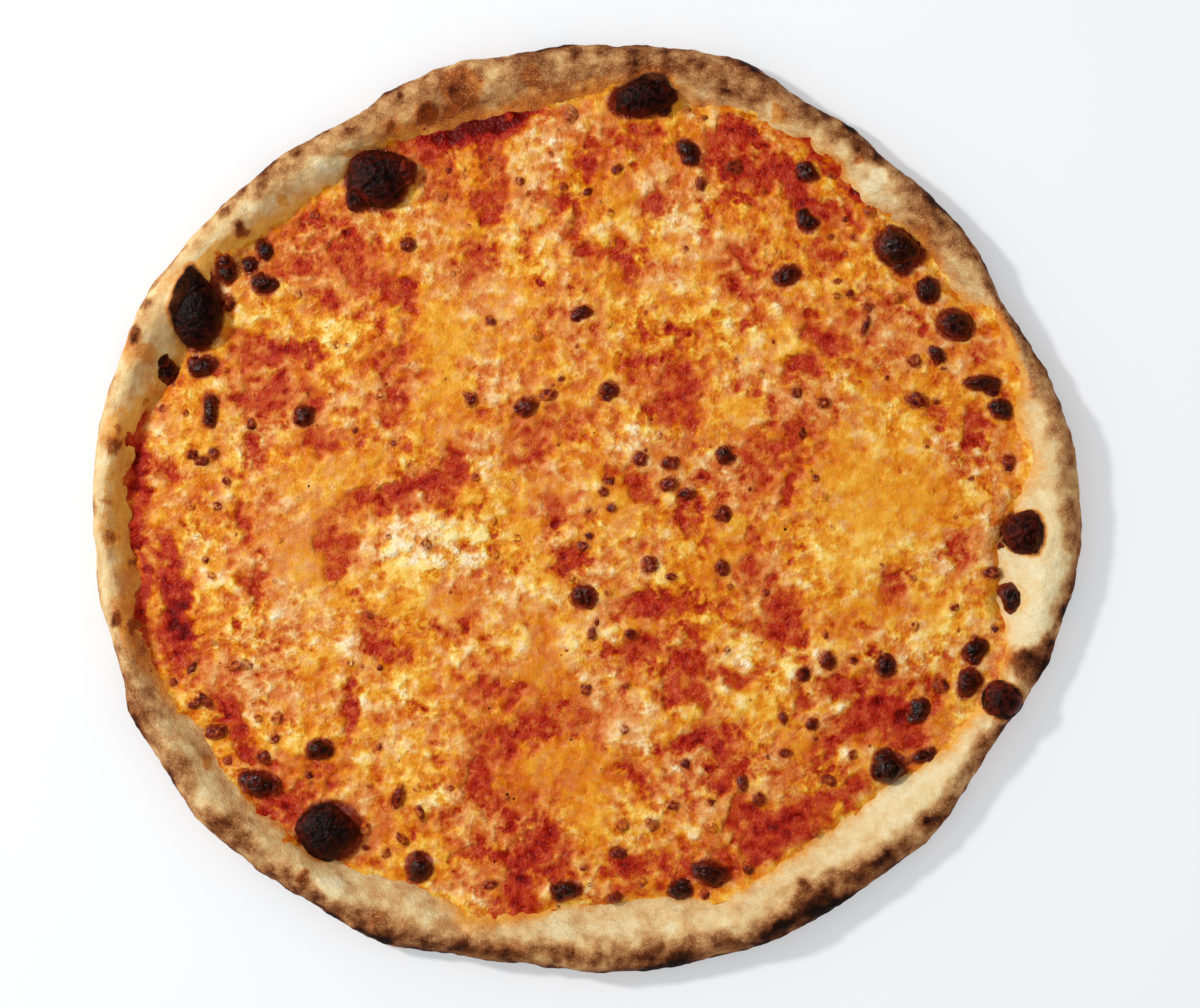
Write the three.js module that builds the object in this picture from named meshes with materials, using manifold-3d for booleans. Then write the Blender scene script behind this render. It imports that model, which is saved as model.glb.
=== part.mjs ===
// A whole baked margherita pizza, about 42 cm across, in millimetres.
// +Z is up, the flat underside lies on z = 0, and the origin is below the middle of the outline.
// Three pieces lie on each other: the bread base with its raised rim, the tomato sauce, and the melted cheese,
// which the sauce shows through. Burnt bubbles stand up out of the bread and out of the cheese.

import * as THREE from "three";
import { mergeVertices } from "three/addons/utils/BufferGeometryUtils.js";
import Module from "manifold-3d";

// Outline, seen from above. A wave repeats `turns` times round the pizza and is highest at the angle `at`.
const MEAN_RADIUS = 202.6;
const OUTLINE_WAVES = [
  { turns: 1, reach: 4.5, at: 227 },
  { turns: 2, reach: 6.0, at: 5 },
  { turns: 3, reach: 2.0, at: 92 },
  { turns: 4, reach: 1.3, at: 83 },
];

// Rim: its width from the outer edge to the visible edge of the topping, and its height.
const RIM_WIDTH = 20;
const RIM_WIDTH_WAVES = [
  { turns: 1, reach: 2.0, at: 293 },
  { turns: 2, reach: 3.3, at: 109 },
  { turns: 3, reach: 1.6, at: 115 },
];
const RIM_HEIGHT = 17;
const RIM_HEIGHT_WAVES = [
  { turns: 1, reach: 0.8, at: 200 },
  { turns: 3, reach: 0.9, at: 20 },
];

// Places where the rim blew up more or less: degrees round the pizza, then millimetres of reach, width and lift.
const PUFFS = [
  { at: 3, spread: 8, reach: 3.4, widen: 6, lift: 1.6 },
  { at: 25, spread: 7, reach: -2.8, widen: -8, lift: -1.6 },
  { at: 48, spread: 7, reach: -1.8, widen: 3, lift: 0.5 },
  { at: 72, spread: 7, reach: 2.8, widen: 3, lift: 1.4 },
  { at: 98, spread: 7, reach: -1.4, widen: 2, lift: 0.3 },
  { at: 122, spread: 8, reach: -2.6, widen: -3, lift: -1.0 },
  { at: 156, spread: 7, reach: 3.5, widen: 4, lift: 1.2 },
  { at: 183, spread: 8, reach: -2.4, widen: -3, lift: -0.6 },
  { at: 197, spread: 5, reach: -2.4, widen: -3, lift: -0.8 },
  { at: 221, spread: 9, reach: 3.2, widen: 2, lift: 1.0 },
  { at: 246, spread: 4, reach: 1.6, widen: 5, lift: 1.2 },
  { at: 260, spread: 9, reach: -3.4, widen: -5, lift: -1.4 },
  { at: 291, spread: 10, reach: 3.6, widen: 4, lift: 1.4 },
  { at: 314, spread: 6, reach: 1.0, widen: 4, lift: 0.8 },
  { at: 331, spread: 8, reach: -5.4, widen: -8, lift: -0.8 },
  { at: 352, spread: 7, reach: 2.0, widen: 9, lift: 1.8 },
];

// Section of the rim: shares of its width and height.
const UNDERCUT = 0.32;
const CREST_IN = 0.42;
const WIDEST_AT = 0.42;
const TOE_IN = 5;
const FLOOR = 3.5;
// How much of the section's outline, from the underside round to the toe, each of its three parts takes.
const OUTLINE_SHARE = { lower: 0.25, upper: 0.3, slope: 0.45 };

// Knobs on the rim, which run round it and lean across it.
const RIM_KNOBS = [
  { turns: 11, lean: 2, reach: 0.7, start: 4.0 },
  { turns: 19, lean: 3, reach: 0.55, start: 0.4 },
  { turns: 29, lean: -4, reach: 0.35, start: 2.1 },
];

// Layers on the floor of the base, and the gap between one piece and the next.
const GAP = 0.35;
const SAUCE_TOP = 5.05;
const SAUCE_EDGE = 0.6;
const CHEESE_TOP = 7.3;
const CHEESE_EDGE = 0.7;
const CHEESE_WAVES = [
  { length: 83, heading: 12, reach: 0.28, start: 0.3 },
  { length: 57, heading: 151, reach: 0.24, start: 1.9 },
  { length: 44, heading: 68, reach: 0.2, start: 4.4 },
  { length: 37, heading: 108, reach: 0.16, start: 5.2 },
];

// Burnt bubbles of bread on the rim's inner side: [x, y, z, length, width, height, turn in degrees].
const BREAD_BUBBLES = [
  [-167, 84, 9, 34, 21, 15, 93],
  [-90, 139, 7.5, 26, 25, 13, 0],
  [23, 174, 7.5, 27, 16, 13, 15],
  [-110, -139, 7.5, 26, 24, 13, 0],
  [176, -83, 12, 16, 16, 11, 0],
  [185, -12, 10, 17, 17, 11, 0],
];

// Burnt bubbles of cheese: [x, y, length, width, turn in degrees].
const CHEESE_BUBBLES = [
  [133, 109, 23, 17, -20],
  [129, -112, 15, 14, 0],
  [143, -107, 12, 6, 20],
  [52, -157, 15, 12, -20],
  [39, -164, 11, 9, 20],
  [156, 77, 16, 14, -15],
  [145, 91, 11, 10, 90],
  [-2, -39, 11, 11, 0],
  [85, 98, 13, 9, 25],
  [93, 121, 11, 8, -60],
  [94, 142, 11, 9, -20],
  [43, 151, 12, 8, -40],
  [-138, 109, 9, 7, 110],
  [-144, 102, 8, 7, 90],
  [-154, 100, 12, 9, 90],
  [-138, 94, 11, 9, 0],
  [-180, 58, 11, 9, 90],
  [-164, 59, 13, 9, 25],
  [-161, 40, 15, 6, 95],
  [-121, 38, 10, 9, 90],
  [-140, -119, 16, 12, 0],
  [-114, -104, 12, 9, 0],
  [-72, -154, 13, 12, 90],
  [-9, -164, 14, 8, 0],
  [-26, 42, 11, 9, 20],
  [9, 49, 9, 8, 20],
  [-3, 82, 10, 6, 15],
  [59, 21, 9, 9, 0],
  [181, -40, 11, 10, 90],
  [176, 41, 9, 9, 0],
  [168, 52, 16, 7, 0],
  [149, 64, 9, 6, -40],
  [165, -62, 12, 8, 30],
  [162, -76, 14, 9, 70],
  [141, -88, 12, 9, 70],
  [127, -69, 10, 9, 90],
];
const BUBBLE_RISE = 0.32;
const BUBBLE_ROOT = 5.9;
const BUBBLE_SIDES = 8;
const BREAD_BUBBLE_SIDES = 12;
const BREAD_BUBBLE_RINGS = 8;

// Patches where the cheese is open and the sauce stands in the opening: [x, y, length, width, turn in degrees].
const SAUCE_PATCHES = [
  [-91, 99, 32, 18, -42],
  [-133, 46, 26, 15, 30],
  [-177, -30, 34, 10, 108],
  [-106, -19, 27, 15, 100],
  [-63, 8, 34, 17, 14],
  [-46, 161, 28, 12, 15],
  [38, 57, 22, 19, 60],
  [64, 157, 18, 11, -10],
  [79, 140, 28, 9, -60],
  [102, 73, 20, 14, -35],
  [-27, -98, 32, 9, 60],
  [-26, -149, 20, 14, 0],
  [81, -140, 30, 16, 30],
  [128, -86, 18, 14, 40],
];
const PATCH_SIDES = 12;
const PATCH_WOBBLES = [
  { turns: 3, share: 0.13 },
  { turns: 5, share: 0.065 },
];
const MOUND_CLEARANCE = 0.9;
const MOUND_TOP = 6.2;

// Rings of a mound, as shares of its outline and of its height.
const MOUND_RINGS = [
  { across: 1, up: 0 },
  { across: 0.86, up: 0.55 },
  { across: 0.5, up: 0.88 },
];

// Mesh: steps round the pizza, and rings across each part of it.
const STEPS = 90;
const LOWER_RINGS = 3;
const UPPER_RINGS = 4;
const SLOPE_SHARES = [0.25, 0.5, 0.7, 0.85, 1];
const LAYER_SHARES = [1, 0.85, 0.7];
const CHEESE_RINGS = 9;
const MERGE_DISTANCE = 1e-3;

const wasm = await Module();
wasm.setup();

const radians = THREE.MathUtils.degToRad;

// Sum of the waves at an angle round the pizza.
function waveSum(waves, angle) {
  return waves.reduce((sum, wave) => sum + wave.reach * Math.cos(wave.turns * (angle - radians(wave.at))), 0);
}

// Sum of one measure of all the puffs at an angle round the pizza.
function puffSum(measure, angle) {
  return PUFFS.reduce((sum, puff) => {
    const away = Math.atan2(Math.sin(angle - radians(puff.at)), Math.cos(angle - radians(puff.at)));
    return sum + puff[measure] * Math.exp(-((away / radians(puff.spread)) ** 2));
  }, 0);
}

function rimAt(angle) {
  return {
    outer: MEAN_RADIUS + waveSum(OUTLINE_WAVES, angle) + puffSum("reach", angle),
    width: RIM_WIDTH + waveSum(RIM_WIDTH_WAVES, angle) + puffSum("widen", angle),
    height: RIM_HEIGHT + waveSum(RIM_HEIGHT_WAVES, angle) + puffSum("lift", angle),
  };
}

// Pushes a point of the rim away from the middle of its section. `across` runs from 0 at the underside to 1 at the toe.
function knobbed(rim, angle, across, r, z) {
  const knob = RIM_KNOBS.reduce(
    (sum, k) => sum + k.reach * Math.sin(k.turns * angle + k.lean * across * Math.PI + k.start),
    0,
  );
  const push = new THREE.Vector2(r - (rim.outer - rim.width / 2), z - rim.height * WIDEST_AT);
  push.setLength(knob * Math.sin(Math.PI * across));
  return { r: r + push.x, z: z + push.y };
}

// Outer side of the rim: `share` runs from 0 at the underside to 1 at the widest place.
function lowerSide(angle, share) {
  const rim = rimAt(angle);
  const turn = (share * Math.PI) / 2;
  const r = rim.outer - rim.width * UNDERCUT * (1 - Math.sin(turn));
  const z = rim.height * WIDEST_AT * (1 - Math.cos(turn));
  return knobbed(rim, angle, share * OUTLINE_SHARE.lower, r, z);
}

// From the widest place, share 0, up to the crest, share 1.
function upperSide(angle, share) {
  const rim = rimAt(angle);
  const turn = (share * Math.PI) / 2;
  const r = rim.outer - rim.width * CREST_IN * (1 - Math.cos(turn));
  const z = rim.height * (WIDEST_AT + (1 - WIDEST_AT) * Math.sin(turn));
  return knobbed(rim, angle, OUTLINE_SHARE.lower + share * OUTLINE_SHARE.upper, r, z);
}

// From the crest, share 0, down the inner slope to its toe on the floor, share 1.
function innerSlope(angle, share) {
  const rim = rimAt(angle);
  const run = rim.width * (1 - CREST_IN) + TOE_IN;
  const r = rim.outer - rim.width * CREST_IN - run * share;
  const z = FLOOR + (rim.height - FLOOR) * (0.5 + 0.5 * Math.cos(Math.PI * share));
  return knobbed(rim, angle, 1 - (1 - share) * OUTLINE_SHARE.slope, r, z);
}

const toeRadius = (angle) => innerSlope(angle, 1).r;

// A ring of points round the pizza from a function that gives r and z at an angle.
function ringOf(pointAt) {
  return Array.from({ length: STEPS }, (_, step) => {
    const angle = (2 * Math.PI * step) / STEPS;
    const { r, z } = pointAt(angle);
    return new THREE.Vector3(r * Math.cos(angle), r * Math.sin(angle), z);
  });
}

// A closed body through rings of points, from the centre of its underside outwards, up, and back in to the centre
// of its top. Quads are split along the same line whichever way the rings run, so that layers keep their gap.
function loft(lowCentre, rings, highCentre) {
  const count = rings[0].length;
  const points = [lowCentre, ...rings.flat(), highCentre];
  const last = points.length - 1;
  const index = [];
  const at = (ring, step) => 1 + ring * count + (step % count);
  for (let step = 0; step < count; step += 1) {
    index.push(0, at(0, step + 1), at(0, step));
    index.push(last, at(rings.length - 1, step), at(rings.length - 1, step + 1));
    for (let ring = 0; ring < rings.length - 1; ring += 1) {
      const [a, b] = [at(ring, step), at(ring, step + 1)];
      const [c, d] = [at(ring + 1, step + 1), at(ring + 1, step)];
      const outwards = Math.hypot(points[d].x, points[d].y) > Math.hypot(points[a].x, points[a].y);
      index.push(...(outwards ? [a, b, d, b, c, d] : [a, b, c, a, c, d]));
    }
  }
  const geometry = new THREE.BufferGeometry().setFromPoints(points);
  geometry.setIndex(index);
  return geometry;
}

// A geometry as a solid that can be joined and cut.
function solid(geometry) {
  const bare = geometry.clone();
  bare.deleteAttribute("normal");
  bare.deleteAttribute("uv");
  const merged = mergeVertices(bare, MERGE_DISTANCE);
  const mesh = new wasm.Mesh({
    numProp: 3,
    vertProperties: new Float32Array(merged.attributes.position.array),
    triVerts: new Uint32Array(merged.index.array),
  });
  return new wasm.Manifold(mesh);
}

// The largest body of a solid as a geometry, so that no loose scrap stays behind.
function largestBody(made) {
  const [largest] = made.decompose().sort((a, b) => b.volume() - a.volume());
  const mesh = largest.getMesh();
  const geometry = new THREE.BufferGeometry();
  geometry.setAttribute("position", new THREE.BufferAttribute(new Float32Array(mesh.vertProperties), 3));
  geometry.setIndex(new THREE.BufferAttribute(new Uint32Array(mesh.triVerts), 1));
  geometry.computeVertexNormals();
  return geometry;
}

// Outline points of a patch or a bubble, on the ground, in its own turned axes.
function outline(x, y, length, width, turn, sides, wobbles = []) {
  return Array.from({ length: sides }, (_, side) => {
    const angle = (2 * Math.PI * side) / sides;
    const swell = wobbles.reduce((sum, wobble) => sum + wobble.share * Math.sin(wobble.turns * angle + x), 1);
    const point = new THREE.Vector2((length / 2) * swell * Math.cos(angle), (width / 2) * swell * Math.sin(angle));
    return point.rotateAround(new THREE.Vector2(), radians(turn)).add(new THREE.Vector2(x, y));
  });
}

// A rounded mound over an outline: flat below, highest over the middle.
function mound(x, y, points, low, high) {
  const rings = MOUND_RINGS.map(({ across, up }) =>
    points.map((point) => {
      const place = new THREE.Vector2(x, y).lerp(point, across);
      return new THREE.Vector3(place.x, place.y, THREE.MathUtils.lerp(low, high, up));
    }),
  );
  return loft(new THREE.Vector3(x, y, low), rings, new THREE.Vector3(x, y, high));
}

// An upright prism over an outline, which cuts an opening.
function prism(points, low, high) {
  const geometry = new THREE.ExtrudeGeometry(new THREE.Shape(points), { depth: high - low, bevelEnabled: false });
  return geometry.translate(0, 0, low);
}

// An egg-shaped bubble of bread, larger all round by `margin`.
function breadBubble([x, y, z, length, width, height, turn], margin) {
  const geometry = new THREE.SphereGeometry(1, BREAD_BUBBLE_SIDES, BREAD_BUBBLE_RINGS);
  geometry.scale(length / 2 + margin, width / 2 + margin, height / 2 + margin);
  geometry.rotateZ(radians(turn));
  return geometry.translate(x, y, z);
}

const share = (index, count) => index / count;
const steps = (count) => Array.from({ length: count }, (_, index) => index + 1);

function breadBase() {
  const rings = [
    ringOf((angle) => ({ r: lowerSide(angle, 0).r / 2, z: 0 })),
    ringOf((angle) => lowerSide(angle, 0)),
    ...steps(LOWER_RINGS).map((i) => ringOf((angle) => lowerSide(angle, share(i, LOWER_RINGS)))),
    ...steps(UPPER_RINGS).map((i) => ringOf((angle) => upperSide(angle, share(i, UPPER_RINGS)))),
    ...SLOPE_SHARES.map((s) => ringOf((angle) => innerSlope(angle, s))),
  ];
  const base = loft(new THREE.Vector3(0, 0, 0), rings, new THREE.Vector3(0, 0, FLOOR));
  return BREAD_BUBBLES.reduce((made, bubble) => made.add(solid(breadBubble(bubble, 0))), solid(base));
}

// Height of the sauce's underside and top, and of the cheese's underside, on the rim's inner slope.
function layerHeights(angle, slopeShare) {
  const { r, z } = innerSlope(angle, slopeShare);
  const sauceLow = z + GAP;
  const sauceHigh = Math.max(SAUCE_TOP, sauceLow + SAUCE_EDGE);
  return { r, sauceLow, sauceHigh, cheeseLow: sauceHigh + GAP };
}

function layerRings(measure) {
  return LAYER_SHARES.map((s) =>
    ringOf((angle) => {
      const heights = layerHeights(angle, s);
      return { r: heights.r, z: heights[measure] };
    }),
  );
}

// The room over a surface, given by its rings from the middle outwards, up to above the rim.
function roomOver(rings) {
  const high = 2 * RIM_HEIGHT;
  const lifted = rings.at(-1).map((point) => point.clone().setZ(high));
  const middleHeight = rings[0][0].z;
  return solid(loft(new THREE.Vector3(0, 0, middleHeight), [...rings, lifted], new THREE.Vector3(0, 0, high)));
}

// The sauce that stands in the openings of the cheese.
function sauceMounds() {
  const mounds = SAUCE_PATCHES.map(([x, y, length, width, turn]) => {
    const trim = 1 - (2 * MOUND_CLEARANCE) / width;
    const points = outline(x, y, length * trim, width * trim, turn, PATCH_SIDES, PATCH_WOBBLES);
    return solid(mound(x, y, points, (FLOOR + SAUCE_TOP) / 2, MOUND_TOP));
  });
  const insideToe = ringOf((angle) => ({ r: toeRadius(angle) - GAP, z: FLOOR + GAP }));
  return mounds.reduce((made, one) => made.add(one)).intersect(roomOver([insideToe]));
}

function tomatoSauce() {
  const rings = [...layerRings("sauceLow"), ...layerRings("sauceHigh").reverse()];
  const sheet = loft(new THREE.Vector3(0, 0, FLOOR + GAP), rings, new THREE.Vector3(0, 0, SAUCE_TOP));
  const heaped = solid(sheet).add(sauceMounds());
  return BREAD_BUBBLES.reduce((made, bubble) => made.subtract(solid(breadBubble(bubble, GAP))), heaped);
}

// Height of the cheese's top over the floor, which lies in low swells.
function cheeseHeight(x, y) {
  return CHEESE_WAVES.reduce((sum, wave) => {
    const along = x * Math.cos(radians(wave.heading)) + y * Math.sin(radians(wave.heading));
    return sum + wave.reach * Math.sin((2 * Math.PI * along) / wave.length + wave.start);
  }, CHEESE_TOP);
}

function cheeseTopRing(radiusAt, leastAt) {
  return ringOf((angle) => {
    const r = radiusAt(angle);
    return { r, z: Math.max(leastAt(angle), cheeseHeight(r * Math.cos(angle), r * Math.sin(angle))) };
  });
}

function cheeseSheet() {
  const slopeRings = LAYER_SHARES.map((s) =>
    cheeseTopRing(
      (angle) => layerHeights(angle, s).r,
      (angle) => layerHeights(angle, s).cheeseLow + CHEESE_EDGE,
    ),
  );
  const innerRings = steps(CHEESE_RINGS - 1).map((i) =>
    cheeseTopRing(
      (angle) => toeRadius(angle) * share(i, CHEESE_RINGS),
      () => SAUCE_TOP,
    ),
  );
  const rings = [...layerRings("cheeseLow"), ...slopeRings.reverse(), ...innerRings.reverse()];
  const low = new THREE.Vector3(0, 0, SAUCE_TOP + GAP);
  const high = new THREE.Vector3(0, 0, cheeseHeight(0, 0));
  return solid(loft(low, rings, high));
}

// The burnt bubbles of cheese, as far as they lie over the sauce and clear of the rim.
function cheeseBubbles() {
  const bubbles = CHEESE_BUBBLES.map(([x, y, length, width, turn]) => {
    const points = outline(x, y, length, width, turn, BUBBLE_SIDES);
    const high = cheeseHeight(x, y) + BUBBLE_RISE * Math.sqrt(length * width);
    return solid(mound(x, y, points, BUBBLE_ROOT, high));
  });
  return bubbles.reduce((made, one) => made.add(one)).intersect(roomOver(layerRings("cheeseLow")));
}

function meltedCheese() {
  const opened = SAUCE_PATCHES.reduce((made, [x, y, length, width, turn]) => {
    const points = outline(x, y, length, width, turn, PATCH_SIDES, PATCH_WOBBLES);
    return made.subtract(solid(prism(points, SAUCE_TOP + GAP / 2, 2 * RIM_HEIGHT)));
  }, cheeseSheet().add(cheeseBubbles()));
  return BREAD_BUBBLES.reduce((made, bubble) => made.subtract(solid(breadBubble(bubble, GAP))), opened);
}

// How far the middle of the outline lies from the centre that the angles are counted round.
function outlineMiddle() {
  const box = new THREE.Box3().setFromPoints(ringOf((angle) => upperSide(angle, 0)));
  return box.getCenter(new THREE.Vector3());
}

function piece(name, made, color, roughness) {
  const material = new THREE.MeshStandardMaterial({ color, roughness, metalness: 0 });
  const mesh = new THREE.Mesh(largestBody(made), material);
  mesh.name = name;
  return mesh;
}

const pizza = new THREE.Group();
pizza.add(piece("dough", breadBase(), 0xd3a268, 0.85));
pizza.add(piece("tomato_sauce", tomatoSauce(), 0xa32b18, 0.35));
pizza.add(piece("melted_cheese", meltedCheese(), 0xe9a850, 0.4));
const middle = outlineMiddle();
pizza.position.set(-middle.x, -middle.y, 0);

export default pizza;
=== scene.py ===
"""Looks of a whole baked margherita pizza, seen from straight above on a pale table.

The bread, the sauce and the cheese are made again here as fine meshes, from the sizes of their plain solids.
Lengths are millimetres and angles degrees, unless a comment says otherwise. Meshes are written in metres.
Places in the lists of patches and blisters are (across, down) in the photograph's pixels. Sizes there are
millimetres on the pizza.
"""
import math

import bpy
import numpy as np
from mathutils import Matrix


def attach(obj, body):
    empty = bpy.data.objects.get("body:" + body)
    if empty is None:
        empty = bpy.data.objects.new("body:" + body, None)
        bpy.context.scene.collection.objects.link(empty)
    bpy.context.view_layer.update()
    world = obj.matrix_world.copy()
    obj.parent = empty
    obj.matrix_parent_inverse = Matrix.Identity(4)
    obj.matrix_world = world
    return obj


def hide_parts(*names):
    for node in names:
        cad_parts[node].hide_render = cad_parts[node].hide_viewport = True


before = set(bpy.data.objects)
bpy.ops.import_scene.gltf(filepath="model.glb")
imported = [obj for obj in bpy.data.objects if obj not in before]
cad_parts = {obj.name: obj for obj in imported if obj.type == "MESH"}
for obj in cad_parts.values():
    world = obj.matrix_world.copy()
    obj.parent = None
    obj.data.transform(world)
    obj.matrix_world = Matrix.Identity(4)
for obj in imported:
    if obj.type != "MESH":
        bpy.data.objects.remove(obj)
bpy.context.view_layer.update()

MM = 0.001

# The photograph's frame on the table: millimetres per pixel, and the pixel over the pizza's centre.
PHOTO_SCALE = 0.4264
PHOTO_CENTRE = (588, 505)
PHOTO_SIZE = (1200, 1008)

# ----------------------------------------
# Sizes of the plain solids, repeated.

MEAN_RADIUS = 202.6
OUTLINE_WAVES = ((1, 4.5, 227), (2, 6.0, 5), (3, 2.0, 92), (4, 1.3, 83))  # turns, reach, highest at
RIM_WIDTH = 20
RIM_WIDTH_WAVES = ((1, 2.0, 293), (2, 3.3, 109), (3, 1.6, 115))
RIM_HEIGHT = 17
RIM_HEIGHT_WAVES = ((1, 0.8, 200), (3, 0.9, 20))
PUFFS = (  # at, spread, reach, widen, lift
    (3, 8, 3.4, 6, 1.6), (25, 7, -2.8, -8, -1.6), (48, 7, -1.8, 3, 0.5), (72, 7, 2.8, 3, 1.4),
    (98, 7, -1.4, 2, 0.3), (122, 8, -2.6, -3, -1), (156, 7, 3.5, 4, 1.2), (183, 8, -2.4, -3, -0.6),
    (197, 5, -2.4, -3, -0.8), (221, 9, 3.2, 2, 1), (246, 4, 1.6, 5, 1.2), (260, 9, -3.4, -5, -1.4),
    (291, 10, 3.6, 4, 1.4), (314, 6, 1, 4, 0.8), (331, 8, -5.4, -8, -0.8), (352, 7, 2, 9, 1.8),
)
UNDERCUT = 0.32
CREST_IN = 0.42
WIDEST_AT = 0.42
TOE_IN = 5
FLOOR = 3.5
LOWER, UPPER, SLOPE = 0.25, 0.3, 0.45  # shares of the section's outline
RIM_KNOBS = ((11, 2, 0.7, 4.0), (19, 3, 0.55, 0.4), (29, -4, 0.35, 2.1))  # turns, lean, reach, start
OUTLINE_STEPS = 90

CHEESE_TOP = 7.3
CHEESE_WAVES = ((83, 12, 0.28, 0.3), (57, 151, 0.24, 1.9), (44, 68, 0.2, 4.4), (37, 108, 0.16, 5.2))
SAUCE_TOP = 6.0

BREAD_BUBBLES = (  # x, y, z, length, width, height, turn
    (-167, 84, 9, 34, 21, 15, 93), (-90, 139, 7.5, 26, 25, 13, 0), (23, 174, 7.5, 27, 16, 13, 15),
    (-110, -139, 7.5, 26, 24, 13, 0), (176, -83, 12, 16, 16, 11, 0), (185, -12, 10, 17, 17, 11, 0),
)
CHEESE_BUBBLES = (  # x, y, length, width, turn
    (133, 109, 23, 17, -20), (129, -112, 15, 14, 0), (143, -107, 12, 6, 20), (52, -157, 15, 12, -20),
    (39, -164, 11, 9, 20), (156, 77, 16, 14, -15), (145, 91, 11, 10, 90), (-2, -39, 11, 11, 0),
    (85, 98, 13, 9, 25), (93, 121, 11, 8, -60), (94, 142, 11, 9, -20), (43, 151, 12, 8, -40),
    (-138, 109, 9, 7, 110), (-144, 102, 8, 7, 90), (-154, 100, 12, 9, 90), (-138, 94, 11, 9, 0),
    (-180, 58, 13, 11, 90), (-164, 59, 13, 9, 25), (-161, 40, 15, 6, 95), (-121, 38, 10, 9, 90),
    (-140, -119, 16, 12, 0), (-114, -104, 12, 9, 0), (-72, -154, 13, 12, 90), (-9, -164, 14, 8, 0),
    (-26, 42, 11, 9, 20), (9, 49, 9, 8, 20), (-3, 82, 10, 6, 15), (59, 21, 9, 9, 0),
    (181, -40, 13, 12, 90), (176, 41, 9, 9, 0), (168, 52, 16, 7, 0), (149, 64, 9, 6, -40),
    (165, -62, 12, 8, 30), (162, -76, 14, 9, 70), (141, -88, 12, 9, 70), (127, -69, 10, 9, 90),
)
BUBBLE_RISE = 0.4
BLISTER_SHARE = 0.9  # the burnt skin's share of a blister's width, inside its browned ring

# ----------------------------------------
# The rim's baking, read round the pizza.

# Angle, how far the toasted band reaches in from the outer edge, its toast, and that of the inner slope.
TOAST_BANDS = (
    (0, 11, 0.56, 0.14), (8, 10, 0.56, 0.17), (15, 8, 0.68, 0.2), (22, 5, 0.66, 0.22),
    (30, 6, 0.64, 0.25), (38, 12, 0.7, 0.36), (45, 10, 0.68, 0.3), (48.5, 4, 0.52, 0.12),
    (52, 9, 0.72, 0.3), (58, 9, 0.74, 0.3), (65, 12, 0.7, 0.22), (72, 16, 0.66, 0.36),
    (80, 16, 0.64, 0.42), (90, 15, 0.64, 0.46), (97, 16, 0.66, 0.54), (102, 6, 0.5, 0.38),
    (108, 16, 0.62, 0.62), (116, 14, 0.54, 0.3), (124, 13, 0.52, 0.2), (128, 10, 0.5, 0.14),
    (134, 12, 0.56, 0.2), (139, 8, 0.44, 0.14), (145, 8, 0.28, 0.12), (152, 10, 0.26, 0.14),
    (160, 12, 0.28, 0.2), (168, 12, 0.2, 0.25), (178, 12, 0.16, 0.26), (188, 12, 0.18, 0.3),
    (195, 14, 0.34, 0.42), (203, 12, 0.55, 0.36), (209, 9, 0.58, 0.3), (213, 12, 0.64, 0.34),
    (217, 6, 0.48, 0.24), (222, 13, 0.68, 0.34), (229, 9, 0.66, 0.28), (233, 9, 0.66, 0.26),
    (238, 8, 0.7, 0.22), (244, 13, 0.76, 0.28), (252, 12, 0.73, 0.26), (262, 12, 0.69, 0.2),
    (272, 12, 0.68, 0.22), (281, 13, 0.78, 0.23), (290, 11, 0.78, 0.2), (299, 16, 0.92, 0.2),
    (308, 12, 0.89, 0.15), (318, 10, 0.79, 0.12), (328, 8, 0.62, 0.11), (338, 8, 0.5, 0.12),
    (345, 6, 0.58, 0.06), (352, 7, 0.6, 0.09),
)

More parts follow.
